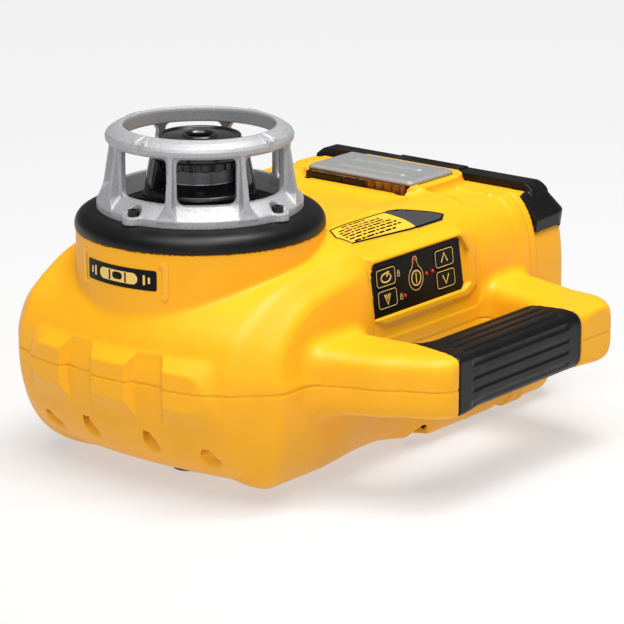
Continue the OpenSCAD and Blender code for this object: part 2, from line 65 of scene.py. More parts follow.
SCREW_R, SCREW_COUNT = 55.5, 4      # the cage's screws: distance from the axis, and number


def smooth(e0, e1, v):
    """Rises from 0 at e0 to 1 at e1 without a kink."""
    t = np.clip((v - e0) / (e1 - e0), 0, 1)
    return t * t * (3 - 2 * t)


def union(a, b, k=0.0):
    """Smaller of two distances, blended over k mm."""
    if k <= 0:
        return minimum(a, b)
    h = maximum(k - np.abs(a - b), 0) / k
    return minimum(a, b) - h * h * k * 0.25


def cut(a, b, k=0.0):
    """a without b."""
    return -union(-a, b, k)


def both(a, b, k=0.0):
    """Larger of two distances, blended over k mm."""
    return -union(-a, -b, k)


def round_corner(a, b, r):
    """Larger of two distances, with the corner between them rounded by r."""
    e = hypot(maximum(a + r, 0), maximum(b + r, 0)) - r
    return maximum(minimum(maximum(a, b), 0), e)


def superellipse(u, v, n, a, b, least):
    """Distance to a superellipse of squareness n and half sizes a and b; u and v are in those sizes."""
    s = maximum((u ** n + v ** n) ** (1 / n), 1e-6)
    slope = hypot((u / s) ** (n - 1) / a, (v / s) ** (n - 1) / b)
    return (s - 1) / maximum(slope, least)


def box(x, y, z, low, high, r=0.0):
    """Distance to an upright box with edges rounded by r."""
    c = [(a + b) / 2 for a, b in zip(low, high)]
    h = [(b - a) / 2 - r for a, b in zip(low, high)]
    qx, qy, qz = np.abs(x - c[0]) - h[0], np.abs(y - c[1]) - h[1], np.abs(z - c[2]) - h[2]
    out = np.sqrt(maximum(qx, 0) ** 2 + maximum(qy, 0) ** 2 + maximum(qz, 0) ** 2)
    return out + minimum(maximum(maximum(qx, qy), qz), 0) - r


def slab(u, v, hu, hv, r=0.0):
    """Distance to a rectangle of half sizes hu and hv about the origin of (u, v)."""
    qu, qv = np.abs(u) - hu + r, np.abs(v) - hv + r
    return hypot(maximum(qu, 0), maximum(qv, 0)) + minimum(maximum(qu, qv), 0) - r


def segment(u, v, a, b):
    """Distance from (u, v) to the line from a to b, and how far along it the nearest point lies."""
    du, dv = b[0] - a[0], b[1] - a[1]
    t = np.clip(((u - a[0]) * du + (v - a[1]) * dv) / (du * du + dv * dv), 0, 1)
    return hypot(u - a[0] - t * du, v - a[1] - t * dv), t


def polyline(u, v, points, k=0.0):
    """Distance to a line through the points, with its bends blended over k mm."""
    d = None
    for a, b in zip(points, points[1:]):
        e = segment(u, v, a, b)[0]
        d = e if d is None else union(d, e, k)
    return d


def polygon(u, v, points):
    """Signed distance to a closed outline."""
    d = np.full(np.shape(u), 1e9)
    inside = np.zeros(np.shape(u), bool)
    for a, b in zip(points, points[1:] + points[:1]):
        d = minimum(d, segment(u, v, a, b)[0])
        crosses = (a[1] > v) != (b[1] > v)
        with np.errstate(divide="ignore", invalid="ignore"):
            at = (b[0] - a[0]) * (v - a[1]) / (b[1] - a[1] if b[1] != a[1] else 1e-9) + a[0]
        inside ^= crosses & (u < at)
    return np.where(inside, -d, d)


# ---------- meshing a distance field ----------

CORNERS = [(a, b, c) for a in (0, 1) for b in (0, 1) for c in (0, 1)]


def near_surface(field, low, n, h, block=8):
    """Field values on the grid, worked out only in blocks that the surface can reach."""
    nb = [-(-k // block) for k in n]
    axes = [low[a] + h * (np.arange(nb[a]) * block + block / 2) for a in range(3)]
    gx, gy, gz = np.meshgrid(*axes, indexing="ij")
    centre = field(gx.ravel(), gy.ravel(), gz.ravel()).reshape(nb)
    reach = block * h * 1.9
    near = np.abs(centre) < reach
    fat = near.copy()
    for a in range(3):
        for s in (1, -1):
            rolled = np.roll(near, s, a)
            edge = [slice(None)] * 3
            edge[a] = 0 if s == 1 else -1
            rolled[tuple(edge)] = False
            fat |= rolled
    full = np.kron(np.where(centre < 0, -reach, reach), np.ones((block,) * 3))[: n[0], : n[1], : n[2]]
    mask = np.kron(fat, np.ones((block,) * 3, bool))[: n[0], : n[1], : n[2]]
    i, j, k = np.nonzero(mask)
    full[i, j, k] = field(low[0] + h * i, low[1] + h * j, low[2] + h * k)
    return full


def surface_net(field, low, high, h):
    """Vertices and quads where the field crosses zero."""
    n = [int(math.ceil((high[a] - low[a]) / h)) + 2 for a in range(3)]
    f = near_surface(field, low, n, h)
    inside = f < 0
    cells = [k - 1 for k in n]
    count = np.zeros(cells, np.int8)
    for corner in CORNERS:
        count += inside[tuple(slice(c, c + k) for c, k in zip(corner, cells))]
    ijk = np.nonzero((count > 0) & (count < len(CORNERS)))
    index = np.full(cells, -1, np.int64)
    index[ijk] = np.arange(len(ijk[0]))
    verts = np.array(low) + h * (np.stack(ijk, 1) + mean_crossing(f, ijk))
    return verts, np.concatenate([quads_across(inside, index, n, axis) for axis in range(3)])


def mean_crossing(f, ijk):
    """For each cell, the mean of the points where its edges cross the surface, in cell units."""
    total = np.zeros((len(ijk[0]), 3))
    hits = np.zeros(len(ijk[0]))
    for axis in range(3):
        for corner in CORNERS:
            if corner[axis]:
                continue
            end = [1 if a == axis else c for a, c in enumerate(corner)]
            f0, f1 = [f[ijk[0] + c[0], ijk[1] + c[1], ijk[2] + c[2]] for c in (corner, end)]
            hit = (f0 < 0) != (f1 < 0)
            t = np.where(hit, f0 / np.where(hit, f0 - f1, 1), 0)
            point = np.array(corner, float)[None, :].repeat(len(t), 0)
            point[:, axis] += t
            total[hit] += point[hit]
            hits[hit] += 1
    return total / hits[:, None]


def quads_across(inside, index, n, axis):
    """One quad round each grid edge along the axis that crosses the surface."""
    u, v = [a for a in range(3) if a != axis]
    here = [slice(None)] * 3
    here[u], here[v], here[axis] = slice(1, n[u] - 1), slice(1, n[v] - 1), slice(0, n[axis] - 1)
    there = list(here)
    there[axis] = slice(1, n[axis])
    e = np.array(np.nonzero(inside[tuple(here)] != inside[tuple(there)]))
    e[u] += 1
    e[v] += 1
    ring = []
    for du, dv in ((-1, -1), (0, -1), (0, 0), (-1, 0)):
        q = e.copy()
        q[u] += du
        q[v] += dv
        ring.append(index[tuple(q)])
    quad = np.stack(ring, 1)
    turn = ~inside[tuple(e)] if axis != 1 else inside[tuple(e)]
    quad[turn] = quad[turn][:, ::-1]
    return quad


def gradient(field, p, e):
    """Slope of the field at the points, over steps of e."""
    g = np.empty_like(p)
    for a in range(3):
        d = np.zeros(3)
        d[a] = e
        q, r = p + d, p - d
        g[:, a] = (field(q[:, 0], q[:, 1], q[:, 2]) - field(r[:, 0], r[:, 1], r[:, 2])) / (2 * e)
    return g


def settle(field, p, h, rounds=2):
    """Moves points onto the surface, along the field's slope."""
    for _ in range(rounds):
        g = gradient(field, p, 0.05)
        f = field(p[:, 0], p[:, 1], p[:, 2])
        step = g * (f / maximum((g * g).sum(1), 0.05))[:, None]
        size = np.linalg.norm(step, axis=1)[:, None]
        p = p - step * minimum(1, 0.6 * h / maximum(size, 1e-9))
    return p


def mesh_from(name, verts, faces):
    """New smooth-shaded object in the scene."""
    mesh = bpy.data.meshes.new(name)
    mesh.from_pydata(np.asarray(verts).tolist(), [], faces.tolist() if hasattr(faces, "tolist") else faces)
    mesh.update()
    mesh.polygons.foreach_set("use_smooth", [True] * len(mesh.polygons))
    obj = bpy.data.objects.new(name, mesh)
    bpy.context.scene.collection.objects.link(obj)
    return obj


MOST_TRIANGLES = 150000
SOFT = 0.35                      # the shading follows the field's slope over steps this long


def field_piece(name, field, low, high, h):
    """One piece from a distance field in the head frame, on a grid of spacing h, thinned if it is large."""
    verts, quads = surface_net(field, low, high, h)
    verts = settle(field, verts, h)
    obj = mesh_from(name, verts, quads)
    if len(quads) * 2 > MOST_TRIANGLES:
        thin = obj.modifiers.new("thin", "DECIMATE")
        thin.ratio = MOST_TRIANGLES / (len(quads) * 2)
        mesh = bpy.data.meshes.new_from_object(obj.evaluated_get(bpy.context.evaluated_depsgraph_get()))
        obj.modifiers.clear()
        obj.data = mesh
    mesh = obj.data
    p = np.empty(len(mesh.vertices) * 3)
    mesh.vertices.foreach_get("co", p)
    p = p.reshape(-1, 3)
    p = settle(field, p, h, 1)
    g = gradient(field, p, SOFT)
    g /= maximum(np.linalg.norm(g, axis=1), 1e-9)[:, None]
    mesh.vertices.foreach_set("co", (p * MM + AXIS).ravel())
    mesh.update()
    mesh.polygons.foreach_set("use_smooth", [True] * len(mesh.polygons))
    mesh.normals_split_custom_set_from_vertices(g.tolist())
    return obj


# ---------- housing form ----------

SIDE_B, BULB_B = 91.6, 97.0      # half widths beside the keypad and at the head end
FRONT_X, REAR_X = -79.0, 235.5   # front and rear ends on the middle line
REAR_CORNER = 16.0               # radius of the rear corners seen from above
BOW = 0.0018                     # how strongly the front bows back towards its sides
CREASE_Y = 76.0                  # where the front's face turns into the chamfer
TOP_LINE = [(-79, 69), (-77.5, 80), (-72, 93), (-64.5, 102), (-52, 110.5), (-36, 118), (-14, 123),
            (10, 125.5), (40, 128), (90, 131)]


def soft_curve(points, n=5):
    """Catmull-Rom curve through the points."""
    p = np.array([points[0]] + points + [points[-1]], float)
    out = []
    for a, b, c, d in zip(p, p[1:], p[2:], p[3:]):
        for t in np.arange(n) / n:
            curve = (2 * a - 5 * b + 4 * c - d) * t * t + (3 * b - a - 3 * c + d) * t ** 3
            out.append(0.5 * (2 * b + (c - a) * t + curve))
    return [tuple(q) for q in out] + [points[-1]]


class Profile:
    """Signed distance to a closed outline, kept on a grid because the outline has many points."""

    def __init__(self, outline, low, high, h=0.5):
        self.low, self.h = low, h
        self.n = [int((high[a] - low[a]) / h) + 1 for a in range(2)]
        u, v = np.meshgrid(*[low[a] + h * np.arange(self.n[a]) for a in range(2)], indexing="ij")
        self.values = polygon(u, v, outline)

    def __call__(self, u, v):
        i = np.clip((u - self.low[0]) / self.h, 0, self.n[0] - 1.001)
        j = np.clip((v - self.low[1]) / self.h, 0, self.n[1] - 1.001)
        i0, j0 = i.astype(int), j.astype(int)
        s, t = i - i0, j - j0
        g = self.values
        return ((g[i0, j0] * (1 - s) + g[i0 + 1, j0] * s) * (1 - t)
                + (g[i0, j0 + 1] * (1 - s) + g[i0 + 1, j0 + 1] * s) * t)


top_profile = Profile([(-79, 20)] + soft_curve(TOP_LINE) + [(260, 136), (260, 20)], (-110, 30), (150, 170))


def side_width(x):
    """Half width of the body along its length."""
    return BULB_B + (SIDE_B - BULB_B) * smooth(8, 56, x)


def chamfered(face, y):
    """The face, with the 45 degree chamfer that leads into the flank."""
    return both(face, (20 * face + 14 * (np.abs(y) - CREASE_Y)) / 24.4, 2.5)


def plan(x, y):
    """Signed distance to the housing's outline seen from above, and how much of it is the front."""
    face = (FRONT_X + BOW * y * y - x) * 0.97
    side = np.abs(y) - side_width(x)
    return both(chamfered(face, y), side, 3), smooth(-16, 10, face - side)


def shoulder(d, z, z0, rise, depth, p):
    """Distance to a wall that curves over: depth inward over the height rise from z0, with squareness p."""
    u, v = maximum((depth + d) / depth, 0), maximum((z - z0) / rise, 0)
    return superellipse(u, v, p, depth, rise, 1 / 120)


def core(x, y, z):
    """The housing's body without its turret, handle and detail."""
    d, front = plan(x, y)
    # head end: one curved profile across the width, chamfered towards the flanks
    crown = maximum(1 - (y / 84) ** 2, 0) * smooth(74, 96, z)
    face = top_profile(x - BOW * y * y * smooth(70, -40, x), z - 3.5 * crown)
    nose = both(chamfered(face, y), np.abs(y) + 0.16 * (z - PARTING) - BULB_B, 3)
    # battery end: rounded shoulders, and corners that turn into the back
    d = np.where(x > 150, round_corner(d, x - REAR_X, REAR_CORNER), d)
    dip = 4.4 * smooth(80, 128, x) * smooth(148, 141, x) * smooth(56, 28, np.abs(y))
    rear = shoulder(d, z, PARTING, 136.0 - dip - PARTING, 48, 3.3)
    top = nose + (rear - nose) * smooth(2, 60, x)
    top = d + (top - d) * smooth(PARTING, PARTING + 7, z)
    low_depth = 40 - 24 * smooth(70, 108, x)
    low_depth = low_depth + (72 - low_depth) * front
    under = shoulder(d, 2 * PARTING - z, PARTING, PARTING - 4, low_depth, 2.45 - 0.15 * front)
    return np.where(z > PARTING, top, under)


HANDLE_Y = -145.5                # middle of the grip's bar
HANDLE_Z = PARTING + 0.5
HANDLE_WIDE, HANDLE_TALL = 18.8, 17.8   # half width and half height of the bar
HANDLE = [(-3, -80), (10, -122), (24, HANDLE_Y), (156, HANDLE_Y), (163, -122), (166, -80)]
GRIP = (24.0, 134.0)             # ends of the grip sleeve
GRIP_RIBS = 17                   # ribs round its whole section


def handle(x, y, z):
    """Side handle: a fat bar with squared section bent round the finger gap, flattened along its outside."""
    d = polyline(x, y, HANDLE[:3], 10)
    d = union(d, polyline(x, y, HANDLE[2:4]), 12)
    d = union(d, polyline(x, y, HANDLE[3:]), 12)
    root = smooth(-128, -92, y)
    wide = HANDLE_WIDE + 6.5 * root * smooth(70, 20, x) + 1.5 * root * smooth(70, 120, x)
    tall = HANDLE_TALL + 2.0 * root
    u, v = maximum(d, 0) / wide, np.abs(z - HANDLE_Z) / tall
    return both(superellipse(u, v, 4.2, wide, tall, 0.02), -164.6 - y, 1.0)


def sleeve_zone(x, y, grow=0.0):
    """Below zero between the slanting ends of the grip sleeve."""
    across = (y - HANDLE_Y) / 19
    near, far = GRIP[0] + 3.5 * across - grow, GRIP[1] - 4.0 * across + grow
    return maximum(near - x, x - far)


PAD_TILT = radians(7)
PAD_OUT = np.array([0, -cos(PAD_TILT), sin(PAD_TILT)])
PAD_UP = np.array([0, sin(PAD_TILT), cos(PAD_TILT)])
pad_low, pad_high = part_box("keypad_panel")
PAD = ((np.array(pad_low) + np.array(pad_high)) / 2 - AXIS) / MM + PAD_OUT      # on the film's outer face


def pad_coordinates(x, y, z):
    """Along the keypad, up it, and out of it, from the middle of its face."""
    u = x - PAD[0]
    v = (y - PAD[1]) * PAD_UP[1] + (z - PAD[2]) * PAD_UP[2]
    w = (y - PAD[1]) * PAD_OUT[1] + (z - PAD[2]) * PAD_OUT[2]
    return u, v, w


SCREWS = [(-68, 22), (-68, -22), (-56, 57), (-56, -57), (174, 70), (174, -70), (100, 72), (100, -72)]
FEET = [(-12, 0), (157, 62), (157, -62)]
PLATFORM_SIDE = [(36, 57), (88, 50), (97, 61), (117, 65), (147, 67), (178, 69), (260, 69)]
PLATFORM = [(36, 0)] + [(x, -y) for x, y in PLATFORM_SIDE] + PLATFORM_SIDE[::-1]
BEZEL = [(-41, 18.6), (45, 18.2), (49, 16.0), (57, 5), (55.5, -16), (47, -21), (-34, -21), (-41, -17)]
RECESS = [(-38.6, 15.2), (41, 15.2), (43, 14.6), (49, 5), (47.8, -12.5), (42.5, -15.2), (-36, -15.2),
          (-40, -9)]
FILM = [(-39.6, 11.5), (-37.2, 14.7), (40.2, 14.9), (42.6, 13.4), (43.4, -12.4), (41.2, -14.8),
        (-39.6, -14.8)]
platform_edge = Profile(PLATFORM, (20, -90), (262, 90), 1.0)

PAD_MID = -3.0                   # middle of the front bumper pad
PAD_FACE = 4.0                   # how far its face stands out of the body


def bumper_pad(y, z, d):
    """Front bumper pad: upright face, sloping edges, and two upright slots down to the body."""
    y, rise = y - PAD_MID, d - PAD_FACE
    upper = ((z - 79) * 11.0 + rise * 12) / 16.3
    lower = ((58 - z) * 5.5 + rise * 9) / 10.5
    ends = ((np.abs(y) - 62.5) * 4 + rise * 4.5) / 6.02
    rim = both(both(upper, ends, 10), lower, 6)
    f = both(maximum(maximum(rise, 45 - z), -d - 15), rim, 0.8)
    slot = np.abs(np.abs(y) - 24.5) - 12.6
    return cut(f, maximum(slot - 0.7 * rise, -2.5 - d), 0.5)


def with_ridges(f, x, y, z):
    """Adds the raised platform with its bead, the step and groove ahead of the seam, and the hump."""
    high = smooth(112, 122, z) * (x > 34)
    edge = platform_edge(x, y)
    bead = np.exp(-((edge + 1.4) / 1.3) ** 2) + 0.45 * smooth(1.5, -3, edge)
    f = f - 0.8 * bead * high * smooth(184, 182, x) * smooth(40, 56, x)
    f = f - 1.0 * smooth(180.0, 181.4, x) + 0.8 * np.exp(-((x - 191.5) / 0.6) ** 2)
    hump = maximum(slab(x - 168, y, 30, 43, 14), z - 138.4)
    return union(f, hump, 6)


def with_bezel(f, u, v, w):
    """Adds the flat that carries the keypad, the bezel round it, and the recess inside the bezel."""
    f = cut(f, maximum(0.4 - w, slab(u - 8, v + 1, 53, 26, 9)), 2.0)
    f = union(f, both(polygon(u, v, BEZEL) + 0.6 * w, maximum(w - 1.7, -w - 6), 1.4), 0.8)
    return cut(f, maximum(polygon(u, v, RECESS) - 0.35 * w, -w - 0.7), 0.6)


def with_pocket(f, x, y, z, screw):
    """Cuts the hole for one long screw, and a scoop from it to the nearest edge of the body."""
    sx, sy = screw
    hole = (sx - 4.5, sy) if sx < 0 and abs(sy) > 50 else screw
    scoop = (sx - 5, sy) if sx < 0 else (sx, sy + math.copysign(5, sy))
    f = cut(f, maximum(hypot(x - hole[0], y - hole[1]) - 4.4, z - 43), 1.0)
    return cut(f, maximum(hypot(x - scoop[0], y - scoop[1]) - 5.2, z - 28), 4.0)


def housing(x, y, z):
    """The whole outer surface: body, turret, handle, bumper pad, keypad bezel, ridges and pockets."""
    f = with_ridges(core(x, y, z), x, y, z)
    f = with_bezel(f, *pad_coordinates(x, y, z))
    d, _ = plan(x, y)
    f = np.where(x < -20, union(f, bumper_pad(y, z, d), 0.8), f)
    tower = maximum(hypot(x, y) - TURRET_R, z - 139)
    f = union(f, maximum(tower, 84 - z), 2.5)
    # the handle is drawn in where the grip sleeve covers it
    bar = handle(x, y, z)
    bar = bar + 2.4 * smooth(0.3, -0.3, sleeve_zone(x, y, 0.25)) * smooth(-122, -124, y)
    f = union(f, maximum(bar, y + 70), 7)
    for screw in SCREWS:
        f = with_pocket(f, x, y, z, screw)
    for fx, fy in FEET:
        f = cut(f, maximum(hypot(x - fx, y - fy) - 9.6, z - 5.2), 0.4)
    # fine groove where the shells meet
    return f + 0.6 * np.exp(-((z - PARTING) / 0.5) ** 2)


WALL = 4.4                       # thickness of the shells
plate_low, plate_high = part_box("guard_plate")
PLATE_NEAR, PLATE_FAR = (plate_low.x - AXIS[0]) / MM, (plate_high.x - AXIS[0]) / MM
PLATE_HALF = (plate_high.y - AXIS[1]) / MM


def hollow(x, y, z):
    """Everything that is cut out of the closed outer form: inside space, openings and sockets."""
    r = hypot(x, y)
    space = maximum(core(x, y, z) + WALL, z - 131.5)
    space = union(space, maximum(r - 65, maximum(z - 135.8, 60 - z)), 1.0)
    space = union(space, maximum(r - 50, 120 - z), 0.5)
    # posts round the screws
    for sx, sy in SCREWS:
        space = maximum(space, 7.5 - hypot(x - sx, y - sy))
    # receiver well under the guard plate, in a tray that closes it off
    half = PLATE_HALF - 1.5
    well = box(x, y, z, (PLATE_NEAR - 4.5, -half, 122.2), (PLATE_FAR - 3, half, 160), 2)
    tray = box(x, y, z, (PLATE_NEAR - 12, -PLATE_HALF, 118.6), (PLATE_FAR, PLATE_HALF, 137), 1)
    space = union(maximum(space, -tray), well)
    # keypad socket
    u, v, w = pad_coordinates(x, y, z)
    return union(space, maximum(polygon(u, v, FILM) - 0.6, -w - 4.3))


def shell(x, y, z):
    """The housing as a thin wall, without its battery end."""
    return maximum(maximum(housing(x, y, z), -hollow(x, y, z)), x - SEAM_X)


def upper_shell(x, y, z):
    return maximum(shell(x, y, z), PARTING - 0.5 - z)


def lower_shell(x, y, z):
    """Lower half, with the hole for the tripod bushing."""
    bushing = 13 - hypot(x - 75, y)
    return maximum(maximum(shell(x, y, z), bushing), z - PARTING - 0.5)


def gasket(x, y, z):
    """Seal between the shells, just inside the wall."""
    return both(np.abs(core(x, y, z) + 3.3) - 1.2, np.abs(z - PARTING) - 0.8, 0.4)


# ---------- battery end ----------

BAR_X, BAR_HALF = 214.0, 8.0     # the rubber bar across the top of the cover, along X


def cover(x, y, z):
    """Battery cover: the housing's form carried on behind the seam, as one thin shell."""
    body = core(x, y, z)
    inside = maximum(body + 3.6, x - REAR_X + 3)
    f = maximum(maximum(body + 0.4, -inside), SEAM_X + 0.5 - x)
    # shallow panel and grip lines on the back
    panel = slab(y, z - 66, 62, 34, 12)
    f = cut(f, both(panel, 234.4 - x, 1.0), 1.2)
    lines = maximum(np.abs((np.abs(y) % 7.0) - 3.5) - 0.9, slab(y, z - 44, 40, 6, 5))
    f = np.where(x > 228, union(f, maximum(lines, x - 235.2), 0.8), f)
    return cut(f, box(x, y, z, (BAR_X - 5.5, -11, 125), (BAR_X + 5, 11, 150)), 0.5)


# section of a corner block: distance out of the cover's outline, and height
BLOCK = [(-30, 101.3), (-30, 128.5), (-23.2, 128.3), (-13.2, 127.6), (-2.6, 115.2), (-3.7, 106.5),
         (-12.5, 101.5)]


def cover_bumper(x, y, z):
    """Rubber bar across the top of the cover, and the faceted blocks round its upper corners."""
    body, ay = core(x, y, z), np.abs(y)
    d = round_corner(ay - side_width(x), x - REAR_X, REAR_CORNER)
    block = maximum(polygon(d, z - 0.03 * (x - SEAM_X), BLOCK) - 1.9, SEAM_X + 0.6 - x)
    block = maximum(block, 66 - ay + 0.3 * (z - 127))
    bar = maximum(body - 3.8, np.abs(x - BAR_X) - BAR_HALF + 0.2)
    bar = both(bar, maximum(ay - 82, z - 137.9), 1.4)
    f = maximum(union(block, bar, 2.2), 0.3 - body)
    return maximum(f, -maximum(np.abs(x - BAR_X) - BAR_HALF, ay - 25.9))


def latch(x, y, z):
    """Thumb latch in the middle of the bar, with cross ribs."""
    body = core(x, y, z)
    f = both(body - 4.4, maximum(np.abs(x - BAR_X) - BAR_HALF + 0.7, np.abs(y) - 25.3), 1.6)
    f = f + 0.5 * smooth(0.2, 0.8, np.sin(x * 1.6)) * (np.abs(y) < 18)
    return maximum(f, -body + 0.4)


# ---------- turret and guard ----------

def sector(x, y, n, phase):
    """Coordinates along and across the nearest of n equal directions."""
    a = np.arctan2(y, x) - phase
    step = 2 * pi / n
    a = (a + step / 2) % step - step / 2
    r = hypot(x, y)
    return r * np.cos(a), r * np.sin(a)


SKIRT = [(46.6, 150.0), (57.3, 150.0), (57.3, 154.0), (56.4, 155.0), (50.0, 160.4), (46.6, 160.9)]
TOP_RING = [(43.0, 188.3), (50.6, 187.4), (51.7, 188.6), (51.9, 190.6), (50.9, 192.4), (47.6, 194.6),
            (44.6, 195.9), (42.9, 195.8), (42.6, 194.6)]
POSTS = 8
FIN = [(46.8, 157), (50.5, 153.5), (57.2, 153.5), (56.8, 156.5), (51.7, 188), (46.8, 190)]


def cage(x, y, z):
    """Cast guard: skirt, eight finned posts round rounded windows, and the broad top ring."""
    r = hypot(x, y)
    f = polygon(r, z, SKIRT) - 0.25
    # band with the windows
    _, across = sector(x, y, POSTS, 0.0)
    band = maximum(np.abs(r - 48.2) - 1.5, np.abs(z - 174) - 16)
    window = slab(across, z - 174.1, 16.3, 13.4, 5.0)
    f = union(f, maximum(band, -window), 0.6)
    # fins with spreading feet
    along, across = sector(x, y, POSTS, pi / POSTS)
    thick = 1.35 + 0.5 * smooth(186, 158, z) + 3.2 * smooth(162, 154, z)
    f = union(f, maximum(polygon(along, z, FIN), (np.abs(across) - thick) * 0.9), 1.6)
    f = union(f, polygon(r, z, TOP_RING) - 0.5, 1.2)
    # lugs and screw pockets, and the sight marks above them
    along, across = sector(x, y, SCREW_COUNT, 0.0)
    lug = hypot(along - SCREW_R, across)
    f = union(f, maximum(lug - 6.4, np.abs(z - 152.2) - 2.2), 1.2)
    f = cut(f, maximum(lug - 4.3, 154.5 - z), 0.5)
    mark = segment(along, np.abs(across), (44.6, 1.3), (50.4, 3.4))[0]
    ring_top = 194.6 - 0.42 * maximum(along - 45.5, 0)
    f = union(f, maximum(mark - 0.85, np.abs(z - ring_top) - 2.0), 0.5)
    return maximum(f, 2.0 - lug)


def bumper_ring(x, y, z):
    """Fat rubber ring round the turret, rounded over to the foot of the cage."""
    r = hypot(x, y)
    wide, tall = 13.0, 9.9
    u, v = maximum(r - RING_R + wide, 0) / wide, maximum(z - 140, 0) / tall
    f = superellipse(u, v, 2.3, wide, tall, 0.03)
    f = both(f, maximum(139.15 - z, 50.3 - r), 0.8)
    along, across = sector(x, y, SCREW_COUNT, 0.0)
    return maximum(f, 1.9 - hypot(along - SCREW_R, across))


def grip(x, y, z):
    """Rubber sleeve with long raised ribs that die out before its ends."""
    bar = handle(x, y, z)
    turn = np.arctan2(z - HANDLE_Z, HANDLE_Y - y)
    from_end = minimum(x - GRIP[0], GRIP[1] - x)
    wave = 0.5 + 0.5 * np.cos(turn * GRIP_RIBS)
    groove = smooth(0.55, 0.0, wave) * smooth(7, 11, from_end)
    f = both(bar + 0.25 + 0.75 * groove, sleeve_zone(x, y, -0.15), 1.2)
    return maximum(f, -bar - 2.0)


# ---------- spinning head ----------

WALL_AT = radians(128.6)    # middle of one of the rotor's two walls
WALL_SPREAD = radians(32)   # half the angle that each wall spans
DRUM = [(8.6, 157.7), (20.3, 157.7), (20.3, 155.7), (30.4, 155.7), (31.0, 156.4), (31.0, 159.0),
        (29.6, 160.6), (23.0, 161.4), (8.6, 161.4)]
CAP = [(7.2, 180.2), (27.2, 178.6), (28.2, 179.6), (28.1, 182.4), (26.4, 185.4), (23.4, 188.0),
       (22.8, 189.9), (21.6, 189.9), (21.0, 189.0), (10.6, 189.4), (9.8, 190.2), (8.4, 190.2), (7.2, 189.0)]
DISH = [(24, 146.6), (49.7, 146.6), (49.7, 149.7), (46, 149.8), (42, 148.2), (24, 148.2)]


def rotor(x, y, z):
    """Drum of the spinning head: skirt, two walls and the stepped cap with its round opening."""
    r = hypot(x, y)
    f = union(polygon(r, z, DRUM), polygon(r, z, CAP)) - 0.15
    along, across = sector(x, y, 2, WALL_AT)
    outer = r - 30.6 + 2.9 * smooth(160, 182, z)
    walls = maximum(maximum(outer, 22.3 - r), np.abs(z - 170) - 10)
    edge = np.abs(across) * cos(WALL_SPREAD) - along * sin(WALL_SPREAD)
    walls = both(walls, edge, 1.6)
    walls = cut(walls, maximum(np.abs(np.abs(across) - 7.0) - 0.7, -1.0 - outer), 0.3)
    return union(f, walls, 1.0)


def rib_ring(x, y, z):
    """Slotted black band behind the head's openings."""
    r = hypot(x, y)
    _, across = sector(x, y, 20, WALL_AT + pi / 2)
    f = maximum(np.abs(r - 22.4) - 1.3, np.abs(z - 176.6) - 3.2)
    return cut(f, maximum(slab(across, z - 175.2, 1.5, 3.6, 1.2), 22.3 - r), 0.5)


def dish(x, y, z):
    """Dust dish with fine radial ribs between the spindle and the cage."""
    r = hypot(x, y)
    f = polygon(r, z, DISH) - 0.1
    _, across = sector(x, y, 36, 0.0)
    ribs = both(np.abs(across) - 0.65, maximum(np.abs(r - 36.5) - 8, np.abs(z - 148.2) - 1.2), 0.3)
    return union(f, ribs, 0.5)


# ---------- guard plate and sensor window ----------

PLATE_X = 165.0                  # middle of the plate


def guard_plate(x, y, z):
    """Cast plate over the receiver, with chamfered edges and two raised ridges."""
    side = slab(x - PLATE_X, y, 21.9, 38.9, 3.5)
    f = both(side, np.abs(z - 140.1) - 1.4, 0.4)
    f = both(f, 0.55 * side + 0.83 * (z - 141.5) + 1.15, 0.3)
    for at in (-10, 6):
        ridge = np.sqrt(maximum(np.abs(y + 1) - 23, 0) ** 2 + (x - PLATE_X - at) ** 2) - 2.6
        f = union(f, maximum(ridge + 0.9 * (z - 141.3), z - 142.35), 0.5)
    return f


def sensor_painted_shade(x, y, z):
    """Black panel in front of the far half of the receiver's window: painted shade that darkens that half of
    it.
    """
    f = box(x, y, z, (139.6, -7, 122.4), (140.8, 36.5, 138.4), 0.4)
    return maximum(f, 1.1 - np.abs(y - 9))


def sensor_window(x, y, z):
    """Amber window of the receiver, with upright ribs."""
    ribs = 0.9 * np.abs(np.sin((y + 33) * pi / 6))
    f = box(x, y, z, (141.0, -35, 122.2), (182.5, 35, 138.5), 1.0)
    return maximum(f, 141.1 + ribs - x)


# ---------- keypad film ----------

KEYS = {"rotation": (-27.3, 6.1), "scan": (-27.3, -6.1), "up": (27.3, 6.1), "down": (27.3, -6.1)}
LIGHTS = [(0, 10.3), (-11.2, -7.9), (10, 0.4), (15.6, 0.6)]
KEY = (18.5, 11.5, 2.3)          # width, height and corner radius of a key's opening
POWER_R = 5.75                   # radius of the power key's opening


def film(x, y, z):
    """Keypad film, with openings for the keys and the lights."""
    u, v, w = pad_coordinates(x, y, z)
    f = both(polygon(u, v, FILM) - 0.3, np.abs(w + 1.0) - 1.0, 0.3)
    for at in KEYS.values():
        f = maximum(f, -slab(u - at[0], v - at[1], KEY[0] / 2, KEY[1] / 2, KEY[2]))
    f = maximum(f, POWER_R - hypot(u, v))
    for at in LIGHTS:
        f = maximum(f, 1.3 - hypot(u - at[0], v - at[1]))
    return f


# ---------- meshes from outlines ----------

def lathe(name, profile, n=96):
    """Closed (r, z) outline turned about the head's axis."""
    m = len(profile)
    angles = [2 * pi * i / n for i in range(n)]
    verts = [(r * cos(a), r * sin(a), z) for a in angles for r, z in profile]
    faces = []
    for i in range(n):
        j = (i + 1) % n
        faces += [(i * m + k, j * m + k, j * m + (k + 1) % m, i * m + (k + 1) % m) for k in range(m)]
    return finish_mesh(mesh_from(name, np.array(verts) * MM + AXIS, faces))


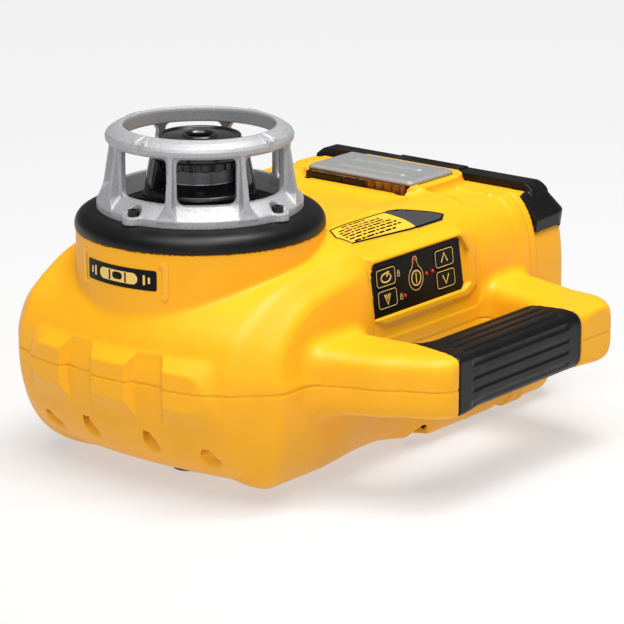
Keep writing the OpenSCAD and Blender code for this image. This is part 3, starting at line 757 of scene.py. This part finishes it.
def finish_mesh(obj, angle=32):
    """Outward faces, merged points, and sharp edges only where the shape is sharp."""
    bm = bmesh.new()
    bm.from_mesh(obj.data)
    bmesh.ops.remove_doubles(bm, verts=bm.verts, dist=1e-6)
    bmesh.ops.recalc_face_normals(bm, faces=bm.faces)
    bm.to_mesh(obj.data)
    bm.free()
    obj.data.set_sharp_from_angle(angle=radians(angle))
    return obj


def round_rect(w, h, r, n=6):
    """Rectangle of width w and height h about the origin, with corners rounded by r."""
    out = []
    for cx, cy, a in ((1, 1, 0), (-1, 1, 90), (-1, -1, 180), (1, -1, 270)):
        for k in range(n + 1):
            t = radians(a + 90 * k / n)
            out.append((cx * (w / 2 - r) + r * cos(t), cy * (h / 2 - r) + r * sin(t)))
    return out


def put(points, place):
    """Points in the row frame; place is a function or a local frame (origin, X, Y, Z in the head frame)."""
    if callable(place):
        return place(points)
    o, ex, ey, ez = [np.array(v, float) for v in place]
    p = np.array(points, float)
    return (o + p[:, :1] * ex + p[:, 1:2] * ey + p[:, 2:3] * ez) * MM + AXIS


PAD_FRAME = (PAD, (1, 0, 0), PAD_UP, PAD_OUT)


def on_turret(points):
    """Points on the turret's front: the first number runs round it, the second up, the third outward."""
    out = []
    for u, v, w in points:
        a = pi + u / TURRET_R
        out.append(((TURRET_R + w) * cos(a), (TURRET_R + w) * sin(a), v))
    return np.array(out) * MM + AXIS


def walls(rings, n):
    """Quads between rings of n points that follow each other in one list."""
    faces = []
    for k in range(rings - 1):
        a, b = k * n, (k + 1) * n
        faces += [(a + i, a + (i + 1) % n, b + (i + 1) % n, b + i) for i in range(n)]
    return faces


def unit(v):
    """The vector at length 1, or 0 if it has no length."""
    return v / max(np.linalg.norm(v), 1e-9)


def key_cap(name, outline, bevel, low=-1.7, high=0.2):
    """Flat cap over an outline on the keypad, with its upper edge bevelled."""
    n = len(outline)
    inner = []
    for k, (u, v) in enumerate(outline):
        t = unit(np.array(outline[(k + 1) % n]) - outline[k - 1])
        inner.append((u - t[1] * bevel, v + t[0] * bevel, high))
    verts = [(u, v, low) for u, v in outline] + [(u, v, high - bevel) for u, v in outline] + inner
    faces = [tuple(range(n))[::-1]] + walls(3, n) + [tuple(2 * n + i for i in range(n))]
    return finish_mesh(mesh_from(name, put(verts, PAD_FRAME), faces))


def stroke_mesh(name, lines, width, low, high, place, closed=()):
    """Raised strokes along polylines in a local frame; closed lists the indices of closed ones."""
    verts, faces = [], []
    for index, line in enumerate(lines):
        p = np.array(line, float)
        n, ring, base = len(p), index in closed, len(verts)
        for k in range(n):
            a = p[k - 1] if ring or k else p[k]
            b = p[(k + 1) % n] if ring or k < n - 1 else p[k]
            t = unit(unit(p[k] - a) + unit(b - p[k]))
            side = np.array([-t[1], t[0]]) * width / 2
            for q, z in ((p[k] + side, low), (p[k] + side, high), (p[k] - side, high), (p[k] - side, low)):
                verts.append((q[0], q[1], z))
        for k in range(n if ring else n - 1):
            i, j = base + 4 * k, base + 4 * ((k + 1) % n)
            faces += [(i + m, i + (m + 1) % 4, j + (m + 1) % 4, j + m) for m in range(4)]
        if not ring:
            end = base + 4 * (n - 1)
            faces += [(base, base + 1, base + 2, base + 3), (end + 3, end + 2, end + 1, end)]
    return finish_mesh(mesh_from(name, put(verts, place), faces), 60)


def arc(cx, cy, rx, ry, a0, a1, n=20):
    """Points along part of an ellipse, from a0 to a1 degrees."""
    angles = [radians(a0 + (a1 - a0) * k / n) for k in range(n + 1)]
    return [(cx + rx * cos(a), cy + ry * sin(a)) for a in angles]


# ---------- materials ----------

def shader(name, color, rough, **sockets):
    """Principled material; further sockets are given by name, with _ for a space."""
    m = bpy.data.materials.new(name)
    m.use_nodes = True
    s = m.node_tree.nodes["Principled BSDF"]
    s.inputs["Base Color"].default_value = (*color, 1)
    s.inputs["Roughness"].default_value = rough
    for key, value in sockets.items():
        s.inputs[key.replace("_", " ")].default_value = value
    return m


def noise(m, scale, detail=3.0, rough=0.5, stretch=(1, 1, 1)):
    """Noise over the object's own coordinates; scale is in cycles per metre."""
    t = m.node_tree
    place, fit, n = [t.nodes.new("ShaderNode" + kind) for kind in ("TexCoord", "Mapping", "TexNoise")]
    fit.inputs["Scale"].default_value = stretch
    n.inputs["Scale"].default_value = scale
    n.inputs["Detail"].default_value = detail
    n.inputs["Roughness"].default_value = rough
    t.links.new(place.outputs["Object"], fit.inputs["Vector"])
    t.links.new(fit.outputs["Vector"], n.inputs["Vector"])
    return n.outputs["Fac"]


def bump(m, height, strength, distance):
    """Adds relief to the shader's normal, on top of any relief it has."""
    t = m.node_tree
    s = t.nodes["Principled BSDF"]
    b = t.nodes.new("ShaderNodeBump")
    b.inputs["Strength"].default_value = strength
    b.inputs["Distance"].default_value = distance
    t.links.new(height, b.inputs["Height"])
    if s.inputs["Normal"].links:
        t.links.new(s.inputs["Normal"].links[0].from_socket, b.inputs["Normal"])
    t.links.new(b.outputs["Normal"], s.inputs["Normal"])


def ramp(m, fac, stops, socket):
    """Sends fac through a colour ramp with (position, colour) stops into a socket of the shader."""
    t = m.node_tree
    r = t.nodes.new("ShaderNodeValToRGB")
    for k, (place, color) in enumerate(stops):
        e = r.color_ramp.elements[k] if k < 2 else r.color_ramp.elements.new(place)
        e.position, e.color = place, (*color, 1) if len(color) == 3 else (color[0],) * 3 + (1,)
    t.links.new(fac, r.inputs["Fac"])
    t.links.new(r.outputs["Color"], t.nodes["Principled BSDF"].inputs[socket])


def moulded(name, color, rough, grain, relief, vary, specular=0.5):
    """Moulded plastic or rubber: fine grain, and slight variation of colour and gloss."""
    m = shader(name, color, rough, Specular_IOR_Level=specular)
    bump(m, noise(m, grain, 2), relief, 0.00012)
    low, high = [tuple(c * k for c in color) for k in (1 - vary, 1 + vary)]
    ramp(m, noise(m, 28, 4), [(0.3, low), (0.7, high)], "Base Color")
    ramp(m, noise(m, 90, 3), [(0.3, (rough * 0.9,)), (0.7, (min(rough * 1.12, 1),))], "Roughness")
    return m


def cast_metal(name, color, rough, grain, relief, metallic):
    """Cast or blasted metal: sparkling grain."""
    m = shader(name, color, rough, Metallic=metallic)
    speck = noise(m, grain, 3, 0.6)
    bump(m, speck, relief, 0.0002)
    low, high = [tuple(min(c * k, 1) for c in color) for k in (0.84, 1.14)]
    ramp(m, speck, [(0.36, low), (0.64, high)], "Base Color")
    ramp(m, noise(m, grain * 0.5, 2), [(0.35, (rough * 0.85,)), (0.65, (rough * 1.2,))], "Roughness")
    return m


def brushed(name, color, rough, stretch):
    """Turned or ground metal: fine lines along one direction."""
    m = shader(name, color, rough, Metallic=1.0)
    lines = noise(m, 1.0, 2, 0.5, stretch)
    bump(m, lines, 0.15, 0.0001)
    ramp(m, lines, [(0.3, (rough * 0.8,)), (0.7, (rough * 1.3,))], "Roughness")
    return m


def glass(name, color, rough):
    """Clear glass with the faintest waviness."""
    m = shader(name, color, rough, Transmission_Weight=1.0, IOR=1.5)
    bump(m, noise(m, 300, 2), 0.03, 0.0001)
    return m


def amber(name, low, high, rough):
    """Tinted window with cloudy colour."""
    m = shader(name, low, rough, Specular_IOR_Level=0.6)
    ramp(m, noise(m, 240, 2), [(0.35, low), (0.65, high)], "Base Color")
    return m


YELLOW = (0.94, 0.43, 0.010)
BLACK = (0.004, 0.004, 0.0045)
MATERIALS = {}
KINDS = {
    # colour, roughness, grain in cycles per metre, its relief, variation of colour, specular level
    moulded: {
        "yellow_plastic": (YELLOW, 0.42, 1700, 0.16, 0.03, 0.25),
        "badge_plastic": (YELLOW, 0.36, 1700, 0.12, 0.03),
        "label_film": ((0.88, 0.50, 0.03), 0.45, 2500, 0.08, 0.03),
        "black_rubber": (BLACK, 0.40, 1300, 0.35, 0.25, 0.28),
        "grip_rubber": (BLACK, 0.42, 1100, 0.4, 0.25, 0.28),
        "black_plastic": ((0.005, 0.005, 0.0055), 0.36, 1500, 0.25, 0.2, 0.3),
        "rotor_black": ((0.006, 0.006, 0.0065), 0.2, 900, 0.08, 0.2),
        "keypad_film": ((0.003, 0.003, 0.003), 0.38, 2500, 0.08, 0.2, 0.12),
        "smoked_window": ((0.012, 0.013, 0.015), 0.06, 400, 0.03, 0.1),
        "circuit_board": ((0.01, 0.10, 0.045), 0.4, 500, 0.3, 0.3),
        "red_light": ((0.55, 0.012, 0.010), 0.2, 800, 0.1, 0.1),
        "belt_rubber": ((0.02, 0.02, 0.02), 0.6, 900, 0.4, 0.2),
        "battery_grey": ((0.03, 0.03, 0.033), 0.5, 1300, 0.3, 0.15),
        "print_black": ((0.003, 0.003, 0.003), 0.4, 2500, 0.05, 0.2, 0.15),
        "print_yellow": ((0.86, 0.58, 0.14), 0.45, 2500, 0.05, 0.04),
        "print_grey": ((0.045, 0.045, 0.048), 0.45, 2500, 0.05, 0.1),
    },
    # colour, roughness, grain, its relief, how metallic
    cast_metal: {
        "cast_aluminium": ((0.44, 0.44, 0.45), 0.5, 1300, 0.6, 0.4),
        "plate_metal": ((0.36, 0.36, 0.355), 0.62, 1900, 0.4, 0.6),
        "black_screws": ((0.012, 0.012, 0.012), 0.35, 1500, 0.2, 0.3),
        "window_band": ((0.16, 0.16, 0.165), 0.4, 700, 0.2, 0.6),
    },
    # colour, roughness, stretch of the lines
    brushed: {
        "machined_aluminium": ((0.72, 0.73, 0.75), 0.3, (300, 300, 6000)),
        "steel": ((0.55, 0.55, 0.57), 0.28, (300, 300, 8000)),
        "brass": ((0.72, 0.50, 0.20), 0.3, (300, 300, 6000)),
    },
    amber: {"amber_window": ((0.10, 0.028, 0.004), (0.24, 0.085, 0.012), 0.18)},
    glass: {"clear_glass": ((0.85, 0.93, 0.96), 0.02)},
}
for make, table in KINDS.items():
    for name, values in table.items():
        MATERIALS[name] = make(name, *values)

for part in frame["record"]["subparts"]:
    node = frame["nodes"][part["node"]]
    node.data.materials.clear()
    node.data.materials.append(MATERIALS[part["material_slot"]])


def finish_piece(obj, body, slot, nodes=(), look=None):
    """Gives a piece its material and the body it rides on, and hides the CAD nodes that it stands for."""
    obj.data.materials.clear()
    obj.data.materials.append(MATERIALS[look or slot])
    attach(obj, body)
    if nodes:
        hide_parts(*nodes)
    return obj


# ---------- pieces from distance fields ----------

def build_pieces(rows):
    """Builds each piece from its field.

    A row has its name, field, low and high corner of the grid, spacing, body, slot and replaced node.
    """
    for name, field, low, high, step, body, slot_name, node in rows:
        finish_piece(field_piece(name, field, low, high, step), body, slot_name, [node] if node else ())


build_pieces([
    ("upper_housing_shell", upper_shell, (-88, -170, 63), (199, 101, 142), 1.35,
     "housing", "yellow_plastic", "upper_housing"),
    ("lower_housing_shell", lower_shell, (-88, -170, 2.5), (199, 101, 75), 1.35,
     "housing", "yellow_plastic", "lower_housing"),
    ("housing_seal", gasket, (-80, -95, 66), (196, 95, 72), 1.1,
     "housing", "black_rubber", "housing_gasket"),
    ("battery_cover_shell", cover, (195, -96, 2.5), (238, 96, 141), 1.3,
     "battery_module", "yellow_plastic", "battery_cover"),
    ("cover_bumper_rubber", cover_bumper, (195, -99, 100), (241, 99, 143), 0.9,
     "battery_module", "black_rubber", "cover_bumper"),
    ("latch_pad", latch, (204, -28, 130), (224, 28, 143), 0.6,
     "latch", "black_plastic", "battery_latch"),
    ("cage_casting", cage, (-64, -64, 149), (64, 64, 199), 0.72,
     "housing", "cast_aluminium", "guard_cage"),
    ("turret_ring", bumper_ring, (-73, -73, 138), (73, 73, 151.5), 0.6,
     "housing", "black_rubber", "turret_bumper"),
    ("grip_sleeve", grip, (14, -170, 46), (150, -120, 92), 0.7,
     "housing", "grip_rubber", "handle_grip"),
    ("rotor_drum", rotor, (-33, -33, 154), (33, 33, 192), 0.5,
     "rotor", "rotor_black", "rotor_body"),
    ("rotor_ribs", rib_ring, (-26, -26, 172), (26, 26, 181), 0.45,
     "rotor", "rotor_black", None),
    ("dust_dish_ribbed", dish, (-52, -52, 145), (52, 52, 151), 0.5,
     "housing", "black_plastic", "dust_dish"),
])

# base of the head's window: glossy drum, bright line and grey band
WINDOW_BASE = [(20.4, 161.2), (22.2, 161.2), (22.2, 165.6), (21.8, 166.0), (20.4, 166.0)]
WINDOW_RIM = [(20.6, 166.0), (22.3, 166.0), (22.3, 166.5), (20.6, 166.5)]
WINDOW_BAND = [(20.6, 166.5), (21.6, 166.5), (21.2, 174.4), (20.6, 174.4)]
finish_piece(lathe("rotor_window_base", WINDOW_BASE), "rotor", "smoked_window", ["rotor_window"])
finish_piece(lathe("rotor_window_rim", WINDOW_RIM), "rotor", "machined_aluminium")
finish_piece(lathe("rotor_window_band", WINDOW_BAND), "rotor", "smoked_window", look="window_band")


# ---------- badge and label ----------

BADGE_Z = 123.7                  # height of the badge's middle


def badge_frame():
    """Raised frame on the turret's front."""
    outer, inner = round_rect(63, 21.5, 2.2), round_rect(56, 14.6, 1.2)
    rows = ((outer, 1, 1, -0.3), (outer, 1, 1, 0.45), (outer, 0.985, 0.95, 0.75), (inner, 1.02, 1.06, 0.75),
            (inner, 1, 1, 0.3))
    points = [(u * su, v * sv + BADGE_Z, w) for outline, su, sv, w in rows for u, v in outline]
    frame_mesh = mesh_from("badge_frame", on_turret(points), walls(len(rows), len(outer)))
    finish_piece(finish_mesh(frame_mesh, 50), "housing", "badge_plastic", ["front_badge"])


def grid_patch(name, outline, z, place, cell=2.0):
    """Flat patch with an inner grid, so that it can follow a curved surface."""
    bm = bmesh.new()
    ring = [bm.verts.new((u, v, 0)) for u, v in outline]
    face = bm.faces.new(ring)
    lo, hi = np.min(outline, 0), np.max(outline, 0)
    for axis in range(2):
        for c in np.arange(lo[axis] + cell, hi[axis], cell):
            geom = bm.verts[:] + bm.edges[:] + bm.faces[:]
            no = (1, 0, 0) if axis == 0 else (0, 1, 0)
            co = (c, 0, 0) if axis == 0 else (0, c, 0)
            bmesh.ops.bisect_plane(bm, geom=geom, plane_co=co, plane_no=no)
    bm.verts.index_update()
    points = [(v.co.x, v.co.y, z) for v in bm.verts]
    faces = [tuple(v.index for v in f.verts) for f in bm.faces]
    bm.free()
    return finish_mesh(mesh_from(name, put(points, place), faces), 60)


def mark(obj, slot, look):
    """Finishes a printed mark that rides on the housing."""
    finish_piece(obj, "housing", slot, (), look)


def moved(line, at):
    """The line, shifted by at."""
    return [(u + at[0], v + at[1]) for u, v in line]


badge_frame()
for name, size, rise, lift, look in (("sign", (50, 11.4, 1.4), 0, 0.2, "print_black"),
                                     ("vial", (27, 6.4, 3.2), 0, 0.32, "print_yellow"),
                                     ("bubble", (7, 4.0, 2.0), 0.3, 0.44, "print_black")):
    outline = moved(round_rect(*size), (0, BADGE_Z + rise))
    mark(grid_patch("badge_" + name, outline, lift, on_turret), "badge_plastic", look)


def upright(u, low, high):
    """Two equal upright lines, to the left and the right of the badge's middle."""
    return [[(side * u, low), (side * u, high)] for side in (-1, 1)]


ticks = upright(5.6, 120.9, 126.5)
mark(stroke_mesh("badge_ticks", ticks, 0.9, 0.3, 0.5, on_turret), "badge_plastic", "print_black")
bars = upright(17.5, 121.0, 126.4) + upright(20.5, 122.0, 125.4)
mark(stroke_mesh("badge_bars", bars, 1.3, 0.18, 0.36, on_turret), "badge_plastic", "print_yellow")


# ---------- information label ----------

def on_housing(points):
    """Points (x, y, lift) put on the upper surface of the housing."""
    p = np.array(points, float)
    low, high = np.full(len(p), 100.0), np.full(len(p), 150.0)
    for _ in range(22):
        z = (low + high) / 2
        out = housing(p[:, 0], p[:, 1], z) > p[:, 2]
        high = np.where(out, z, high)
        low = np.where(out, low, z)
    return np.stack([p[:, 0], p[:, 1], high], 1) * MM + AXIS


def divided(line, step=2.5):
    """The line with further points, no more than a step apart."""
    out = []
    for a, b in zip(line, line[1:]):
        n = max(int(math.dist(a, b) / step), 1)
        out += [(a[0] + (b[0] - a[0]) * k / n, a[1] + (b[1] - a[1]) * k / n) for k in range(n)]
    return out + [line[-1]]


LABEL = [(38.5, -65), (41.5, -75), (93, -77.5), (122, -77.5), (128, -74.5), (111, -64), (91, -56), (44, -56)]
LABEL_TIP = [(98.5, -77.5), (122, -77.5), (127.8, -74.5), (111, -64.1), (92.5, -56.7), (94.5, -66)]
LABEL_EDGE = [(39.3, -64.8), (42.2, -74.3), (93, -76.8), (121.6, -76.8), (126.4, -74.4), (110.6, -64.7),
              (90.8, -56.8), (44.4, -56.8), (39.3, -64.8)]
finish_piece(grid_patch("info_label_film", LABEL, 0.22, on_housing), "housing", "label_film", ["info_label"])
mark(grid_patch("info_label_tip", LABEL_TIP, 0.36, on_housing), "label_film", "print_grey")
border = stroke_mesh("info_label_border", [divided(LABEL_EDGE)], 0.9, 0.26, 0.4, on_housing)
mark(border, "label_film", "print_black")
BARS = (5.2, 3.1, 6.8, 2.2, 4.6)        # lengths of the bars, in turn


def bar_row(start, stop, y, k):
    """One row of short plain bars, in the place of print."""
    bars, at = [], start
    while at < stop - 2:
        end = min(at + BARS[k % len(BARS)], stop)
        bars.append([(at, y), (end, y)])
        at, k = end + 1.2, k + 1
    return bars


rows = bar_row(52, 74, -58.9, 0)
for k, (start, stop) in enumerate(((46, 83), (44, 86), (43.5, 88), (43.5, 90), (44, 91), (46, 84))):
    rows += bar_row(start, stop, -61.8 - 2.3 * k, k)
lines = stroke_mesh("info_label_lines", [divided(row) for row in rows], 1.0, 0.26, 0.36, on_housing)
mark(lines, "label_film", "print_black")

build_pieces([
    ("guard_plate_cast", guard_plate, (141, -41, 137), (189, 41, 144), 0.42,
     "housing", "plate_metal", "guard_plate"),
    ("sensor_window_ribbed", sensor_window, (139.5, -37, 120), (185, 37, 140), 0.5,
     "housing", "amber_window", "sensor_window"),
    # black panel of painted shade over the far half of the receiver's window
    ("sensor_painted_shade", sensor_painted_shade, (138.5, -9, 121), (142, 38, 140), 0.4,
     "housing", "black_plastic", None),
    ("keypad_film", film, (40, -94, 86), (130, -82, 124), 0.4,
     "housing", "keypad_film", "keypad_panel"),
])


# ---------- keypad ----------

SIGNS = {
    "rotation": [arc(0, -0.3, 4.4, 2.5, 60, 385, 24), [(0.6, 0.2), (2.9, 2.6)],
                 [(1.2, 2.7), (2.9, 2.6), (2.8, 1.0)]],
    "scan": [[(-2.6, 2.6), (0, -3.2), (2.6, 2.6)], [(-1.2, 2.6), (0, 0.2), (1.2, 2.6)]],
    "up": [[(-2.9, -2.4), (0, 2.8), (2.9, -2.4)]],
    "down": [[(-2.9, 2.4), (0, -2.8), (2.9, 2.4)]],
}


def printed(name, lines, width, low, high, body, closed=()):
    """Yellow strokes on the keypad."""
    strokes = stroke_mesh(name, lines, width, low, high, PAD_FRAME, closed)
    finish_piece(strokes, body, "keypad_film", (), "print_yellow")


for name, at in KEYS.items():
    body = name + "_key"
    cap = key_cap("key_cap_" + name, moved(round_rect(18, 11, 2), at), 0.35)
    finish_piece(cap, body, "keypad_film", ["key_" + name])
    ring = moved(round_rect(16.6, 9.6, 1.8), at)
    printed("key_outline_" + name, [ring], 0.42, 0.19, 0.25, body, (0,))
    printed("key_sign_" + name, [moved(line, at) for line in SIGNS[name]], 0.95, 0.19, 0.26, body)
cap = key_cap("key_cap_power", arc(0, 0, 5.5, 5.5, 0, 352, 44), 0.4)
finish_piece(cap, "power_key", "keypad_film", ["key_power"])
power = [arc(0, 0, 4.2, 4.2, 0, 350, 35), [(0, -2.9), (0, 2.9)]]
printed("key_sign_power", power, 0.8, 0.19, 0.26, "power_key", (0,))
# drop round the power key and its light, and a padlock beside each key on the left
drop = arc(0, 0, 6.6, 6.9, 118, 422, 40) + arc(0, 10.3, 2.1, 2.1, -35, 215, 14)
locks = []
for at in ((-15.6, 5.2), (-14.6, -8.2)):
    locks += [moved(round_rect(2.0, 1.8, 0.4, 2), at), moved(arc(0, 1.1, 0.8, 1.2, 0, 180, 8), at)]
printed("keypad_outline", [drop] + locks, 0.4, -0.02, 0.06, "housing", (0, 1, 3))


def turned(name, profile, place, n=24, sides=0):
    """Small piece turned from (radius, height, on a polygon) rows, with that many sides to the polygon."""
    verts, faces, m = [], [], len(profile)
    for k in range(n):
        a = 2 * pi * k / n
        for r, h, on_polygon in profile:
            if on_polygon:
                half = pi / sides
                r = r * cos(half) / cos((a + half) % (2 * half) - half)
            verts.append((r * cos(a), r * sin(a), h))
        j = (k + 1) % n
        faces += [(k * m + i, j * m + i, j * m + i + 1, k * m + i + 1) for i in range(m - 1)]
    faces += [tuple(k * m + m - 1 for k in range(n)), tuple(k * m for k in range(n))[::-1]]
    return finish_mesh(mesh_from(name, put(verts, place), faces), 40)


DOME = [(1.2, -2.6, 0), (1.2, -0.1, 0), (1.1, 0.3, 0), (0.85, 0.6, 0), (0.45, 0.78, 0), (0.1, 0.82, 0)]
for k, at in enumerate(LIGHTS):
    centre = PAD + np.array([at[0], 0, 0]) + PAD_UP * at[1]
    lens = turned("status_light_%d" % k, DOME, (centre, (1, 0, 0), PAD_UP, PAD_OUT))
    finish_piece(lens, "housing", "red_light", ["status_lights"])


# ---------- screws ----------

SCREW = [(3.1, 154.6, 0), (3.2, 155.0, 0), (3.2, 157.1, 0), (2.95, 157.6, 0), (2.5, 157.8, 0),
         (1.75, 157.8, 1), (1.65, 156.2, 1), (0.1, 156.1, 0)]
for k in range(SCREW_COUNT):
    a = 2 * pi * k / SCREW_COUNT
    place = ((SCREW_R * cos(a), SCREW_R * sin(a), 0), (1, 0, 0), (0, 1, 0), (0, 0, 1))
    finish_piece(turned("cage_screw_%d" % k, SCREW, place, 36, 6), "housing", "black_screws")


# ---------- stage ----------

WHITE = (1, 1, 1, 1)


def add(name, data):
    """New object in the scene, holding a light or a camera."""
    obj = bpy.data.objects.new(name, data)
    bpy.context.scene.collection.objects.link(obj)
    return obj


def light(name, place, aim, size, power):
    """Round soft light; place and aim are in the head frame."""
    data = bpy.data.lights.new(name, "AREA")
    data.shape, data.size, data.energy = "DISK", size, power
    obj = add(name, data)
    obj.location = HEAD @ Vector(place)
    obj.rotation_euler = (HEAD @ Vector(aim) - obj.location).to_track_quat("-Z", "Y").to_euler()


def stage():
    """Pale floor, pale surroundings, one broad soft sun and two small soft lights."""
    half = 9.0
    corners = [(-half, -half, 0), (half, -half, 0), (half, half, 0), (-half, half, 0)]
    floor = mesh_from("floor", corners, [(0, 1, 2, 3)])
    white = shader("floor_white", (0.32, 0.32, 0.32), 0.9, Specular_IOR_Level=0.1, Emission_Strength=0.50,
                   Emission_Color=WHITE)
    floor.data.materials.append(white)
    world = bpy.data.worlds.new("studio")
    world.use_nodes = True
    background = world.node_tree.nodes["Background"]
    background.inputs["Color"].default_value = WHITE
    background.inputs["Strength"].default_value = 0.16
    bpy.context.scene.world = world
    sun = bpy.data.lights.new("broad", "SUN")
    sun.energy, sun.angle = 3.3, radians(50)
    add("broad", sun).rotation_euler = Vector((0.30, 0.22, -1)).to_track_quat("-Z", "Y").to_euler()
    light("key", (150, -250, 1000), (70, -20, 80), 0.35, 4.5)
    light("side", (-700, -600, 420), (40, -60, 80), 0.4, 0.7)


def camera():
    """Long lens from the handle side, a little above the turret."""
    down, heading = radians(15.87), radians(38.57)
    level = cos(down)
    forward = Vector((level * cos(heading), level * sin(heading), -sin(down)))
    data = bpy.data.cameras.new("camera")
    data.sensor_width, data.lens, data.clip_end = 36, 183.5, 40
    obj = add("camera", data)
    obj.location = HEAD @ Vector((-1302.7, -1118.2, 575.6))
    obj.rotation_euler = forward.to_track_quat("-Z", "Y").to_euler()
    bpy.context.scene.camera = obj


bpy.context.scene.view_settings.view_transform = "Standard"
camera()
stage()
